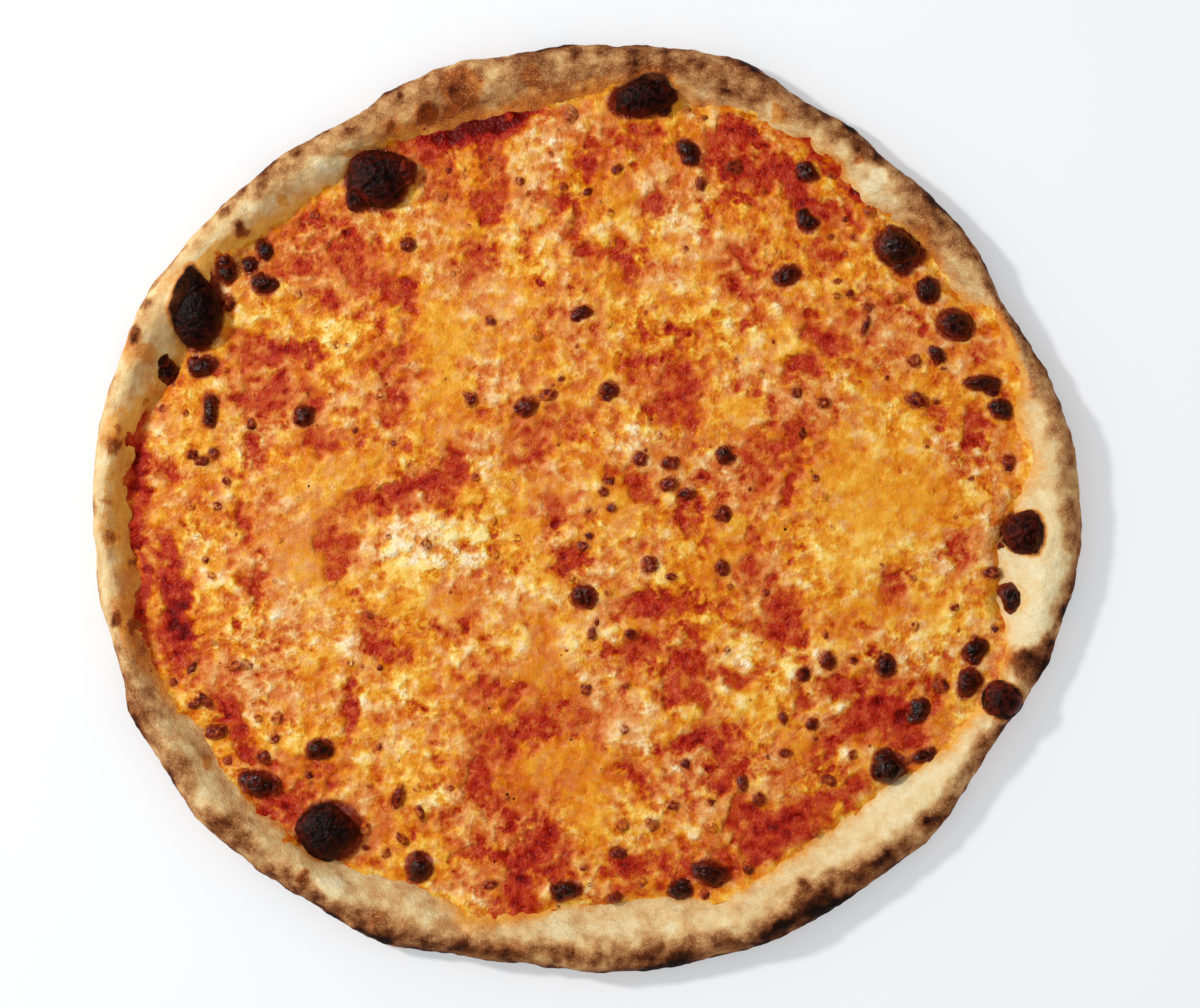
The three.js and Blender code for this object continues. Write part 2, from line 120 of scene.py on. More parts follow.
# Toasted spots: angle, inset from the outer edge, length along the rim, width across it, and toast. A toast
# below 0 makes the spot paler by that much.
TOAST_SPOTS = (
    (5.5, 3, 7, 5, 0.65), (1, 2, 6, 4, 0.5), (14, 5, 6, 5, 0.5), (17, 1, 14, 3.5, 0.8),
    (20.5, 0.6, 6, 3, 0.9), (25, 9, 3, 8, 0.45), (37.5, 11, 8, 8, 0.55), (42.5, 2, 9, 6, 0.85),
    (52.3, 7.5, 3, 9, 0.65), (51.5, 1.5, 5, 4, 0.55), (48.5, 10, 7, 15, -0.3), (58, 0.8, 7, 3, 0.8),
    (64, 1, 5, 3, 0.6), (65, 12, 10, 10, -0.15), (69, 3, 9, 7, 0.85), (74, 1.2, 8, 3, 0.6),
    (90, 7, 10, 8, 0.45), (91, 1, 5, 3, 0.6), (97, 6, 7, 6, 0.8), (102.5, 7, 7, 9, -0.14),
    (107.8, 13, 6, 8, 0.88), (112.2, 16, 9, 8, 0.88), (114.5, 3, 5, 4, 0.8), (117.5, 14, 6, 5, 0.6),
    (118.5, 1, 6, 3, 0.75), (123, 1, 5, 3, 0.6), (128, 12, 8, 10, -0.2), (129.5, 2, 7, 5, 0.72),
    (134.6, 4, 9, 6, 0.75), (138.5, 9, 6, 9, -0.12), (141.5, 13, 7, 8, 0.88), (141, 3, 7, 5, 0.65),
    (144, 1, 5, 3, 0.5), (155.5, 3, 7, 7, 0.62), (159.3, 5, 7, 7, 0.8), (170.5, 9, 5, 4, 0.55),
    (173, 8, 8, 7, 0.66), (172, 14, 6, 5, 0.7), (179.5, 6, 5, 5, 0.55), (184, 7, 6, 6, 0.5),
    (187, 17, 6, 5, 0.75), (193.6, 6, 7, 7, 0.85), (195, 13, 6, 10, 0.88), (204, 3, 12, 5, 0.7),
    (213, 6, 8, 8, 0.62), (216.5, 9, 9, 8, -0.12), (221, 6, 8, 12, 0.8), (224, 8, 8, 10, 0.66),
    (232.6, 8, 7, 7, 0.82), (236, 11, 12, 10, -0.3), (244.8, 1.5, 9, 6, 0.98), (243, 9, 10, 8, 0.62),
    (256.5, 4.5, 7, 6, 0.76), (262, 2, 8, 4, 0.65), (281.5, 3, 20, 8, 0.94), (278.5, 2, 8, 5, 0.8),
    (289, 2, 10, 6, 0.85), (299.4, 5, 10, 12, 0.97), (299.6, 14, 6, 8, 0.72), (298, 9, 8, 10, 0.85),
    (308, 3, 14, 7, 0.82), (314, 4, 9, 6, 0.74), (320.5, 1, 8, 4, 0.8), (325, 1.5, 8, 4, 0.6),
    (341, 4, 23, 12, 0.82), (340.3, 11, 13, 12, 0.84), (343, 1.5, 10, 5, 0.85), (347, 1.5, 10, 4, 0.8),
    (351, 1, 10, 4, 0.85), (355, 1, 8, 3.5, 0.7),
)

# Places where the bread took up oil and baked orange: angle, inset, length, width, strength.
RUST_SPOTS = (
    (25, 12, 6, 8, 0.8), (39, 14, 9, 9, 0.7), (52, 8, 4, 8, 0.6), (64, 12, 9, 8, 0.6),
    (82, 13, 14, 8, 0.9), (97.5, 12, 9, 10, 0.8), (107, 11, 20, 17, 1), (112.5, 15, 9, 9, 0.6),
    (117.5, 15, 8, 6, 0.7), (124, 14, 8, 5, 0.5), (135, 15, 7, 7, 0.6), (143, 15, 9, 8, 0.8),
    (161, 12, 12, 9, 0.6), (172, 12, 14, 13, 0.9), (180, 13, 14, 12, 0.8), (152, 6, 20, 10, 0.34),
    (161, 6, 20, 11, 0.42), (171, 7, 24, 12, 0.46), (183, 7, 20, 11, 0.4), (187, 16, 12, 8, 0.8),
    (195, 12, 9, 14, 1), (203, 16, 9, 5, 0.6), (214, 17, 7, 4, 0.6), (232.6, 8, 8, 8, 0.7),
    (243, 9, 10, 8, 0.4), (260, 6, 30, 8, 0.3),
)

# How strongly oil from the topping stains the bread beside it, with painted shade there: angle, strength,
# how far it reaches.
OIL_STAIN_AND_SHADE = (
    (0, 0.65, 7), (8, 0.7, 7), (14, 1, 6), (24, 1.1, 7), (31, 0.6, 4), (39, 1.1, 7), (46, 0.3, 3),
    (54, 0.8, 5), (60, 0.4, 4), (70, 0.4, 4), (78, 1, 7), (98, 1.1, 8), (103, 0.7, 6), (109, 1.3, 9),
    (117, 1, 8), (128, 0.6, 7), (137, 1, 7), (145, 1.2, 8), (158, 1.2, 8), (172, 1.2, 8), (184, 1.1, 8),
    (196, 1.1, 8), (203, 0.9, 5), (212, 0.4, 3), (226, 0.7, 4), (236, 0.2, 3), (247, 0.3, 4),
    (254, 1.2, 7), (263, 0.9, 4), (275, 0.3, 3), (290, 0.7, 4), (305, 0.7, 4), (318, 0.5, 3),
    (330, 0.9, 4), (340, 0.8, 4), (347, 0.6, 5), (356, 0.45, 5),
)

# Radius of the topping's visible edge round the pizza.
TOPPING_EDGE = (
    (0, 183), (5, 189), (12, 186), (18, 191), (25, 190), (29, 181), (33, 181), (43, 177), (50, 176),
    (58, 181), (65, 183), (75, 175), (80, 181), (90, 174), (95, 171), (110, 171), (118, 176),
    (128, 173), (140, 181), (147, 190), (160, 183), (170, 196), (180, 197), (190, 194), (193, 200),
    (200, 198), (210, 191), (220, 192), (229, 190), (240, 182), (247, 177), (255, 181), (265, 174),
    (268, 171), (280, 171), (290, 177), (297, 174), (315, 174), (324, 183), (333, 188), (340, 191),
    (347, 179), (355, 177),
)
# Stretches where sauce shows beyond the cheese: angle, spread, width.
SAUCE_BANDS = ((54, 6, 4), (106, 6, 6), (172, 5, 3), (182, 6, 4), (192, 6, 5), (225, 3, 3), (260, 3, 4))

# ----------------------------------------
# The topping's colours. A patch is its place in the photograph's pixels, then length, width, turn, strength.

# Openings that the sauce shows through.
RED_PATCHES = (
    (752, 176, 24, 18, 0, 0.8), (722, 158, 16, 16, 0, 0.6), (640, 140, 18, 14, 0, 0.75),
    (600, 140, 14, 13, 0, 0.5), (440, 176, 18, 16, 0, 0.62), (318, 222, 18, 14, -40, 0.6),
    (318, 262, 14, 12, 0, 0.5), (880, 300, 18, 14, 0, 0.5), (762, 458, 18, 18, 0, 0.55),
    (800, 438, 17, 24, 0, 0.45), (682, 862, 20, 14, 0, 0.6), (725, 868, 14, 12, 0, 0.6),
    (560, 862, 14, 16, 0, 0.65), (540, 420, 30, 15, 0, 0.5), (640, 780, 15, 14, 0, 0.5),
    (320, 782, 16, 14, 0, 0.5), (240, 345, 14, 16, 0, 0.5), (682, 778, 15, 12, 0, 0.4),
    (322, 300, 14, 14, 0, 0.35), (440, 820, 15, 14, 0, 0.35), (760, 740, 14, 14, 0, 0.35),
    (480, 700, 15, 15, 0, 0.4), (400, 420, 14, 14, 0, 0.4), (840, 222, 14, 14, 0, 0.45),
    (282, 255, 14, 14, 0, 0.5), (760, 580, 15, 14, 0, 0.4), (472, 122, 38, 13, 20, 1),
    (358, 255, 17, 13, -45, 0.9), (390, 285, 12, 10, -60, 0.95), (410, 300, 13, 9, 80, 0.85),
    (400, 358, 32, 17, 90, 0.3), (302, 265, 10, 9, 0, 0.7), (270, 350, 17, 10, 0, 0.85),
    (270, 395, 26, 17, 10, 0.88), (310, 356, 9, 8, 0, 0.75), (325, 443, 18, 8, -10, 0.9),
    (250, 450, 9, 6, 90, 0.9), (385, 498, 28, 9, 15, 0.95), (430, 485, 26, 15, 15, 1),
    (455, 475, 14, 13, 0, 1), (410, 510, 8, 8, 0, 0.9), (452, 500, 12, 7, 90, 0.95),
    (340, 545, 19, 15, -60, 0.9), (338, 573, 9, 8, 0, 0.85), (248, 520, 17, 7, 90, 0.75),
    (252, 582, 15, 10, 90, 0.7), (139, 476, 26, 6, -75, 1), (168, 470, 10, 6, -30, 0.8),
    (160, 555, 21, 9, 100, 0.8), (176, 592, 28, 7, -80, 1), (183, 635, 21, 14, -80, 1),
    (228, 710, 14, 8, -35, 0.95), (245, 735, 12, 9, -70, 1), (246, 757, 9, 7, 0, 0.9),
    (280, 770, 9, 7, 0, 0.85), (294, 803, 15, 10, -10, 1), (371, 636, 12, 8, 90, 1),
    (391, 652, 11, 10, 0, 0.85), (352, 708, 21, 7, 90, 0.8), (450, 631, 13, 8, 0, 0.5),
    (540, 722, 20, 11, 30, 0.86), (512, 738, 20, 10, 25, 0.86), (487, 765, 26, 11, 75, 1),
    (477, 259, 18, 11, 90, 0.42), (495, 165, 21, 9, 90, 0.9), (490, 205, 12, 8, 90, 0.8),
    (553, 201, 20, 6, 0, 0.95), (574, 225, 13, 5, 90, 0.9), (592, 167, 10, 9, 0, 0.85),
    (650, 205, 8, 8, 0, 0.75), (590, 252, 13, 6, 0, 0.8), (626, 264, 14, 8, 90, 0.9),
    (642, 365, 10, 10, 0, 0.7), (682, 392, 24, 14, 90, 1), (662, 415, 13, 9, 0, 0.75),
    (677, 331, 15, 8, 0, 0.7), (533, 447, 15, 13, 90, 0.9), (553, 517, 11, 6, 90, 0.9),
    (570, 560, 17, 9, 0, 0.75), (644, 495, 16, 7, -50, 0.85), (691, 511, 12, 8, 90, 0.95),
    (687, 435, 8, 8, 0, 0.8), (704, 475, 10, 6, 0, 0.9), (752, 550, 26, 4, 95, 0.6),
    (790, 490, 22, 4, 85, 0.55), (655, 605, 30, 11, 5, 1), (781, 606, 14, 10, 0, 0.95),
    (895, 585, 13, 9, 90, 0.9), (735, 133, 17, 10, 0, 1), (712, 155, 9, 6, 90, 0.9),
    (775, 165, 20, 8, -55, 1), (800, 195, 14, 8, -50, 1), (825, 212, 17, 6, -20, 0.85),
    (825, 256, 11, 8, 0, 0.9), (831, 337, 18, 14, -20, 0.95), (805, 370, 11, 7, 0, 0.9),
    (742, 267, 19, 15, 90, 0.5), (936, 417, 11, 8, 90, 0.9), (971, 425, 13, 10, 90, 0.95),
    (960, 550, 11, 7, 90, 0.85), (527, 851, 21, 15, 30, 1), (524, 888, 17, 14, 90, 1),
    (472, 851, 14, 5, 0, 0.95), (511, 692, 12, 6, 0, 0.65), (633, 776, 11, 8, -20, 0.95),
    (637, 650, 23, 8, 5, 0.95), (686, 662, 13, 12, 0, 0.95), (672, 688, 13, 9, 0, 0.9),
    (682, 747, 15, 8, 20, 0.95), (714, 729, 12, 8, 0, 0.9), (720, 777, 12, 10, 0, 0.9),
    (631, 869, 13, 8, 30, 0.95), (745, 815, 16, 13, 0, 1), (760, 842, 22, 15, 10, 1),
    (785, 822, 18, 16, 0, 1), (800, 836, 14, 9, 30, 1), (815, 806, 16, 10, 30, 1),
    (845, 798, 13, 8, 20, 0.95), (857, 788, 10, 7, 0, 0.85), (825, 753, 12, 8, 90, 0.9),
    (851, 729, 16, 10, 20, 0.95), (851, 690, 17, 9, 0, 0.85), (888, 712, 22, 17, 0, 1),
    (905, 737, 14, 10, 0, 1), (775, 627, 19, 12, 0, 0.95), (797, 636, 8, 7, 0, 0.9),
    (697, 655, 15, 15, 0, 0.9), (703, 694, 16, 7, -60, 0.85), (733, 675, 13, 7, -15, 0.8),
    (712, 745, 17, 7, -10, 0.9), (735, 765, 13, 8, -70, 0.9), (838, 683, 28, 7, 10, 0.7),
    (806, 709, 12, 6, 40, 0.75), (922, 692, 17, 9, 10, 0.6), (495, 812, 12, 12, 0, 0.7),
    (535, 820, 26, 20, 0, 0.4), (583, 723, 17, 15, 0, 0.4),
)

# Thick, pale cheese.
PALE_PATCHES = (
    (640, 222, 18, 16, 0, 0.6), (642, 422, 15, 14, 0, 0.6), (240, 500, 16, 14, 0, 0.6),
    (720, 300, 16, 15, 0, 0.5), (520, 222, 15, 15, 0, 0.5), (680, 220, 15, 15, 0, 0.6),
    (798, 338, 13, 14, 0, 0.5), (520, 460, 15, 14, 0, 0.45), (322, 340, 16, 15, 0, 0.55),
    (640, 580, 15, 14, 0, 0.45), (400, 780, 15, 15, 0, 0.5), (962, 622, 18, 20, 0, 0.5),
    (240, 578, 52, 20, 90, 0.35), (440, 620, 15, 14, 0, 0.4), (400, 740, 15, 14, 0, 0.5),
    (360, 700, 14, 14, 0, 0.4), (330, 500, 90, 70, 0, 0.14), (770, 690, 110, 70, 45, 0.14),
    (425, 545, 47, 25, 0, 0.8), (405, 548, 10, 8, 0, 1), (430, 565, 8, 6, 0, 1),
    (425, 497, 10, 7, 0, 0.7), (395, 485, 10, 6, 0, 0.7), (495, 490, 17, 13, 90, 0.7),
    (635, 430, 13, 9, 0, 0.7), (533, 165, 24, 20, 0, 0.6), (540, 240, 12, 9, 0, 0.7),
    (605, 230, 8, 7, 0, 1), (645, 180, 8, 8, 0, 0.7), (560, 210, 8, 8, 0, 0.6),
    (612, 130, 10, 8, 0, 0.7), (330, 332, 17, 10, 0, 0.7), (345, 385, 10, 8, 0, 0.6),
    (470, 315, 9, 8, 0, 0.6), (345, 645, 9, 8, 0, 0.6), (405, 685, 9, 8, 0, 0.6),
    (465, 650, 8, 7, 0, 0.9), (345, 790, 10, 8, 0, 0.8), (246, 322, 12, 9, 90, 0.8),
    (730, 335, 13, 10, 90, 0.7), (715, 415, 9, 8, 0, 0.6), (760, 262, 8, 8, 0, 0.6),
    (555, 590, 12, 9, 0, 0.6), (525, 595, 12, 9, 0, 0.6), (580, 640, 24, 18, 0, 0.7),
    (510, 645, 13, 13, 0, 0.6), (612, 630, 8, 6, 0, 0.9), (645, 700, 14, 12, 0, 0.6),
    (620, 735, 14, 12, 0, 0.6), (660, 785, 12, 9, 0, 0.5), (685, 705, 10, 9, 0, 0.8),
    (740, 655, 18, 12, 40, 1), (720, 690, 14, 8, 0, 1), (738, 702, 9, 6, 0, 0.9),
    (810, 643, 9, 8, 0, 0.9), (790, 680, 14, 12, 0, 0.5), (835, 715, 16, 9, 20, 0.7),
    (755, 730, 12, 10, 0, 0.6), (700, 775, 10, 6, 45, 0.8), (842, 757, 10, 6, 90, 0.8),
    (920, 632, 8, 7, 0, 0.8), (935, 655, 14, 14, 0, 0.6), (430, 797, 13, 8, 0, 0.8),
    (463, 825, 10, 8, 0, 0.9), (447, 865, 13, 6, 80, 0.7), (285, 850, 12, 10, 0, 0.6),
    (490, 825, 10, 9, 0, 0.7), (560, 860, 12, 8, 0, 0.6), (590, 880, 9, 8, 0, 0.7),
    (690, 830, 9, 5, 50, 0.9), (550, 885, 8, 6, 90, 0.8), (720, 810, 12, 8, 0, 0.6),
    (990, 500, 9, 14, 0, 0.5),
)

# Where the sauce lies thick and dark, and painted rim shade: place, length, width, turn, depth.
# Along the top and left borders this darkening is painted shade of the rim falling on the sauce.
DEEP_SAUCE_AND_RIM_SHADE = (
    (470, 126, 44, 13, 17, 0.95), (140, 472, 26, 7, -75, 0.4), (178, 612, 32, 7, -78, 0.38),
    (184, 637, 20, 12, -80, 0.35), (526, 858, 20, 15, 30, 0.3), (785, 828, 24, 17, 10, 0.13),
    (889, 712, 22, 16, 0, 0.17), (738, 135, 14, 9, 0, 0.3), (792, 186, 26, 7, -52, 0.25),
    (404, 292, 15, 10, 80, 0.15), (240, 728, 24, 8, -50, 0.25), (612, 872, 14, 7, 30, 0.2),
)

# Smooth stretches: place, length, width, turn, tone from 0, sauce, to 1, cream, and how golden they are.
SMOOTH_ZONES = (
    (318, 530, 60, 28, 80, 0.61, 0.4), (280, 540, 20, 16, 0, 0.5, 0.4),
    (860, 500, 56, 40, 90, 0.65, 0.9), (925, 500, 40, 22, 90, 0.61, 0.85),
    (500, 300, 28, 24, 0, 0.63, 0.4), (455, 605, 22, 18, 0, 0.5, 0.4),
    (440, 340, 26, 20, 90, 0.62, 0.9), (450, 385, 16, 14, 0, 0.62, 0.8), (405, 575, 16, 9, 0, 0.7, 1),
    (530, 525, 12, 8, 0, 0.62, 1), (740, 405, 16, 12, 0, 0.62, 0.9), (540, 690, 44, 30, 0, 0.5, 0.5),
    (550, 775, 50, 26, 0, 0.47, 0.6), (585, 815, 16, 18, 0, 0.6, 1), (890, 610, 30, 18, 0, 0.52, 0.5),
    (800, 740, 20, 12, 0, 0.5, 0.6), (590, 720, 18, 18, 0, 0.42, 0.1),
)

# ----------------------------------------
# Blisters of cheese: place in the photograph's pixels, length, width, turn, and how burnt, from 0 to 1.

BLISTERS = (
    (229, 303, 8, 7, 90, 0.9), (251, 425, 6, 5, 90, 0.8), (192, 455, 6, 5, 0, 0.85),
    (203, 461, 8, 5, 0, 0.85), (214, 453, 6, 5, 90, 0.85), (262, 757, 7, 6, 0, 0.9),
    (309, 776, 5, 5, 0, 0.8), (197, 702, 9, 5, 30, 0.85), (205, 700, 9, 4, -50, 0.85),
    (215, 732, 11, 7, 0, 0.85), (193, 667, 9, 4, 60, 0.85), (173, 682, 5, 5, 0, 0.8),
    (237, 665, 14, 5, 5, 0.6), (398, 797, 12, 6, 70, 0.85), (548, 395, 9, 6, 20, 0.7),
    (471, 400, 7, 6, 90, 0.85), (408, 245, 8, 7, 0, 0.9), (584, 546, 6.5, 5.5, 0, 0.85),
    (589, 536, 4, 3.5, 0, 0.8), (649, 565, 8, 8, 0, 0.85), (672, 577, 5, 4, 0, 0.85),
    (640, 459, 7, 7, 0, 0.9), (670, 463, 9, 6, 0, 0.9), (670, 484, 9, 7, 30, 0.9),
    (687, 494, 9, 6, 0, 0.9), (609, 481, 6, 4, 0, 0.85), (604, 492, 5, 5, 0, 0.85),
    (612, 508, 5, 5, 0, 0.8), (722, 514, 8, 8, 0, 0.95), (722, 568, 8, 7, 90, 0.9),
    (802, 432, 7, 4, 90, 0.8), (796, 393, 6, 6, 0, 0.8), (823, 403, 6, 5, 0, 0.85),
    (866, 325, 10, 3.5, 70, 0.9), (868, 307, 5, 5, 0, 0.8), (849, 294, 4.5, 4.5, 0, 0.7),
    (838, 281, 5, 3, 0, 0.7), (837, 296, 4, 3.5, 0, 0.7), (914, 361, 7, 6, 0, 0.8),
    (917, 400, 11, 8, -10, 0.85), (897, 298, 7, 6, 0, 0.6), (991, 573, 8.5, 5.5, 0, 0.9),
    (1008, 464, 9, 6, 90, 0.85), (1001, 546, 6.5, 4, 0, 0.7), (941, 686, 8, 7, 0, 0.85),
    (975, 639, 4, 3, 90, 0.8), (828, 660, 8.5, 7.5, 100, 0.95), (804, 674, 7.5, 6.5, 60, 0.95),
    (812, 725, 6, 5.5, 90, 0.95), (785, 753, 6.5, 4.5, 0, 0.85), (783, 717, 8, 4.5, 100, 0.85),
    (828, 780, 8, 5, -15, 0.85), (742, 784, 8, 5.5, 90, 0.9), (759, 799, 6.5, 6, 90, 0.9),
    (686, 764, 5, 5, 0, 0.9), (672, 806, 6, 5, 0, 0.75), (652, 824, 7, 6, 90, 0.7),
    (749, 870, 6, 5, 0, 0.8), (614, 898, 9, 5, 20, 0.85), (619, 854, 8, 6, 0, 0.95),
    (556, 909, 5, 3, 30, 0.7), (733, 167, 8.5, 7, 0, 0.9), (701, 184, 7, 5, 90, 0.85),
    (854, 660, 4, 4, 0, 0.85), (489, 885, 8, 5, 15, 0.8), (705, 895, 6, 5, 45, 0.7),
    (597, 622, 3.5, 3, 90, 0.85), (592, 634, 6.5, 4.5, 90, 0.85), (586, 690, 6, 5, 90, 0.75),
    (627, 686, 4.5, 4, 0, 0.6), (625, 730, 5, 5, 0, 0.65), (630, 634, 5.5, 5, 0, 0.92),
    (622, 825, 7, 6, 90, 0.6), (711, 802, 5, 5, 0, 0.7), (711, 828, 6, 5, 0, 0.5),
    (825, 635, 5, 3, 100, 0.65), (727, 650, 4, 4, 0, 0.6), (735, 626, 6, 3.5, 10, 0.4),
    (852, 755, 4.5, 4, 90, 0.75), (914, 626, 5, 5, 0, 0.55), (995, 629, 4, 3.5, 0, 0.85),
    (420, 813, 9, 4, 110, 0.65), (402, 839, 8, 4, -50, 0.8), (366, 848, 4, 3, 0, 0.8),
    (366, 829, 7, 5, 90, 0.6),
)

# Small round blisters: place, then how wide.
SMALL_BLISTERS = (
    (297, 223, 6), (315, 215, 5), (328, 245, 4), (297, 293, 6), (336, 345, 5), (378, 395, 5),
    (355, 430, 4), (393, 443, 4), (227, 482, 5), (191, 506, 5.5), (218, 506, 5), (206, 560, 4),
    (212, 576, 4), (162, 408, 4), (186, 413, 4), (145, 402, 4), (370, 615, 5), (253, 700, 4),
    (259, 719, 4), (277, 718, 7), (275, 739, 5.5), (228, 761, 5), (213, 643, 4), (379, 747, 4),
    (350, 663, 4), (380, 668, 4), (450, 788, 4), (426, 787, 4), (369, 785, 4), (551, 154, 4),
    (520, 181, 5), (563, 187, 5), (588, 192, 5), (610, 212, 5), (617, 169, 6), (568, 115, 9),
    (509, 206, 4), (463, 170, 4), (449, 171, 4), (437, 181, 4), (443, 196, 6), (491, 321, 6),
    (537, 336, 6), (609, 325, 4), (561, 379, 4), (567, 418, 5), (684, 249, 5), (476, 478, 4),
    (427, 545, 6), (388, 537, 4), (494, 521, 4.5), (495, 555, 5), (517, 538, 4.5), (573, 524, 4),
    (588, 510, 4), (608, 592, 5), (571, 577, 4.5), (658, 435, 5), (686, 110, 4), (704, 118, 4),
    (752, 181, 4), (764, 191, 4), (846, 219, 4), (820, 197, 4), (870, 212, 8), (855, 238, 4),
    (735, 360, 4), (761, 374, 4), (937, 402, 4), (823, 497, 5), (816, 478, 4), (766, 593, 4),
    (730, 587, 4), (913, 578, 4), (957, 460, 4), (832, 174, 5), (830, 236, 4), (778, 251, 4),
    (943, 367, 4), (556, 909, 4), (417, 789, 4), (394, 798, 4), (386, 853, 5), (814, 831, 6),
    (584, 868, 4), (640, 883, 6), (955, 607, 5),
)

# Black specks: place, then how wide.
SPECKS = (
    (677, 328, 1.3), (520, 351, 1.2), (594, 433, 1.2), (785, 529, 1.8), (711, 602, 1.2),
    (843, 556, 1.2), (921, 519, 1.2), (930, 605, 1.1), (434, 661, 1.2), (489, 708, 1.4),
    (309, 486, 1.8), (561, 655, 1.2), (606, 718, 1.1), (571, 740, 1.6), (601, 769, 1.1), (507, 795, 2),
    (514, 799, 1.6), (442, 812, 1.4), (494, 862, 1.2),
)

# ----------------------------------------
# Numbers.

FULL_TURN = 2 * math.pi
LATTICE = 256
SEED_SHIFT = 0.37
DICE = np.random.default_rng(11)
SHUFFLE = DICE.permutation(LATTICE)
ARROWS = DICE.normal(size=(LATTICE, 3))
ARROWS /= np.linalg.norm(ARROWS, axis=1, keepdims=True)


def noise(x, y, z, size, seed):
    """Smooth random swells between about -1 and 1, one every `size` or so."""
    place = np.stack(np.broadcast_arrays(x, y, z), -1) / size + SEED_SHIFT * seed
    cell = np.floor(place).astype(int)
    part = place - cell
    ease = part**3 * (part * (part * 6 - 15) + 10)
    total = 0
    for corner in np.ndindex(2, 2, 2):
        ix, iy, iz = np.moveaxis((cell + corner) % LATTICE, -1, 0)
        arrow = ARROWS[SHUFFLE[(ix + SHUFFLE[(iy + SHUFFLE[(iz + seed) % LATTICE]) % LATTICE]) % LATTICE]]
        weight = np.where(corner, ease, 1 - ease).prod(-1)
        total = total + weight * ((part - corner) * arrow).sum(-1)
    return 2 * total


def layers_of_noise(x, y, z, layers):
    """Sum of noises, each given as (size, reach, seed)."""
    return sum(reach * noise(x, y, z, size, seed) for size, reach, seed in layers)


def smooth_step(low, high, value):
    """0 below low, 1 above high, and an even S between them."""
    share = np.clip((value - low) / (high - low), 0, 1)
    return share * share * (3 - 2 * share)


def bell(away, spread):
    """1 in the middle, falling evenly to 0 on both sides."""
    return np.exp(-((away / spread) ** 2))


def towards(start, end, share):
    return start + (end - start) * share


def angle_from(angle, at):
    """How far an angle in radians lies from one in degrees, the shorter way round."""
    return (angle - math.radians(at) + math.pi) % FULL_TURN - math.pi


def along_heading(x, y, heading):
    """A place's coordinates along a heading in degrees and to the left of it."""
    cos, sin = math.cos(math.radians(heading)), math.sin(math.radians(heading))
    return x * cos + y * sin, y * cos - x * sin


def from_photo(across, down):
    """A place in the photograph as millimetres from the centre that the angles are counted round."""
    x = (np.asarray(across, float) - PHOTO_CENTRE[0]) * PHOTO_SCALE
    y = (PHOTO_CENTRE[1] - np.asarray(down, float)) * PHOTO_SCALE
    return x, y


def round_points(angle, r, z):
    return np.stack([r * np.cos(angle), r * np.sin(angle), z], -1)


# ----------------------------------------
# The rim's form.

TABLE_ANGLES = 720
TABLE_RADII = np.arange(140, 225, 0.5)
TABLE_STEPS = 60


def wave_sum(waves, angle):
    return sum(reach * np.cos(turns * (angle - math.radians(at))) for turns, reach, at in waves)


def rim_at(angle):
    """Outer radius, width and height of the rim at an angle in radians."""
    outer = MEAN_RADIUS + wave_sum(OUTLINE_WAVES, angle)
    width = RIM_WIDTH + wave_sum(RIM_WIDTH_WAVES, angle)
    height = RIM_HEIGHT + wave_sum(RIM_HEIGHT_WAVES, angle)
    for at, spread, reach, widen, lift in PUFFS:
        share = bell(angle_from(angle, at), math.radians(spread))
        outer = outer + reach * share
        width = width + widen * share
        height = height + lift * share
    return outer, width, height


def section(angle, across, push=0):
    """Radius and height of the rim's surface.

    `across` runs from 0, the underside's edge, over the crest to 1, the toe. The surface is pushed out from
    the middle of its section by the knobs, and by `push` more.
    """
    outer, width, height = rim_at(angle)
    low = np.clip(across / LOWER, 0, 1) * math.pi / 2
    high = np.clip((across - LOWER) / UPPER, 0, 1) * math.pi / 2
    down = np.clip((across - LOWER - UPPER) / SLOPE, 0, 1)
    run = width * (1 - CREST_IN) + TOE_IN
    r = outer - width * UNDERCUT * (1 - np.sin(low)) - width * CREST_IN * (1 - np.cos(high)) - run * down
    z = height * (WIDEST_AT * (1 - np.cos(low)) + (1 - WIDEST_AT) * np.sin(high))
    z = z - (height - FLOOR) * (0.5 - 0.5 * np.cos(math.pi * down))
    knob = 0
    for turns, lean, reach, start in RIM_KNOBS:
        knob = knob + reach * np.sin(turns * angle + lean * across * math.pi + start)
    out_r = r - (outer - width / 2)
    out_z = z - height * WIDEST_AT
    length = np.hypot(out_r, out_z)
    shift = knob * np.sin(math.pi * across) + push
    return r + shift * out_r / length, z + shift * out_z / length


def outline_middle():
    """The middle of the outline's box, which the solids are centred on."""
    angle = FULL_TURN * np.arange(OUTLINE_STEPS) / OUTLINE_STEPS
    r, _ = section(angle, LOWER)
    x, y = r * np.cos(angle), r * np.sin(angle)
    return (x.min() + x.max()) / 2, (y.min() + y.max()) / 2


def slope_table():
    """Heights of the bread's inner slope, by angle and radius, to look up below the topping."""
    angle = FULL_TURN * np.arange(TABLE_ANGLES) / TABLE_ANGLES
    across = np.linspace(1, LOWER + UPPER, TABLE_STEPS)
    r, z = section(angle[:, None], across[None, :])
    return np.array([np.interp(TABLE_RADII, row_r, row_z) for row_r, row_z in zip(r, z)])


MIDDLE = outline_middle()
SLOPE_HEIGHTS = slope_table()


def bread_height(x, y):
    """Height of the bread's upper side inside the crest."""
    turn = (np.arctan2(y, x) / FULL_TURN) % 1 * TABLE_ANGLES
    first = np.floor(turn).astype(int) % TABLE_ANGLES
    second = (first + 1) % TABLE_ANGLES
    step = (np.hypot(x, y) - TABLE_RADII[0]) / (TABLE_RADII[1] - TABLE_RADII[0])
    step = np.clip(step, 0, len(TABLE_RADII) - 1.001)  # stays inside the table's last cell
    ring = np.floor(step).astype(int)
    part = turn - np.floor(turn)
    near = towards(SLOPE_HEIGHTS[first, ring], SLOPE_HEIGHTS[second, ring], part)
    far = towards(SLOPE_HEIGHTS[first, ring + 1], SLOPE_HEIGHTS[second, ring + 1], part)
    return towards(near, far, step - ring)


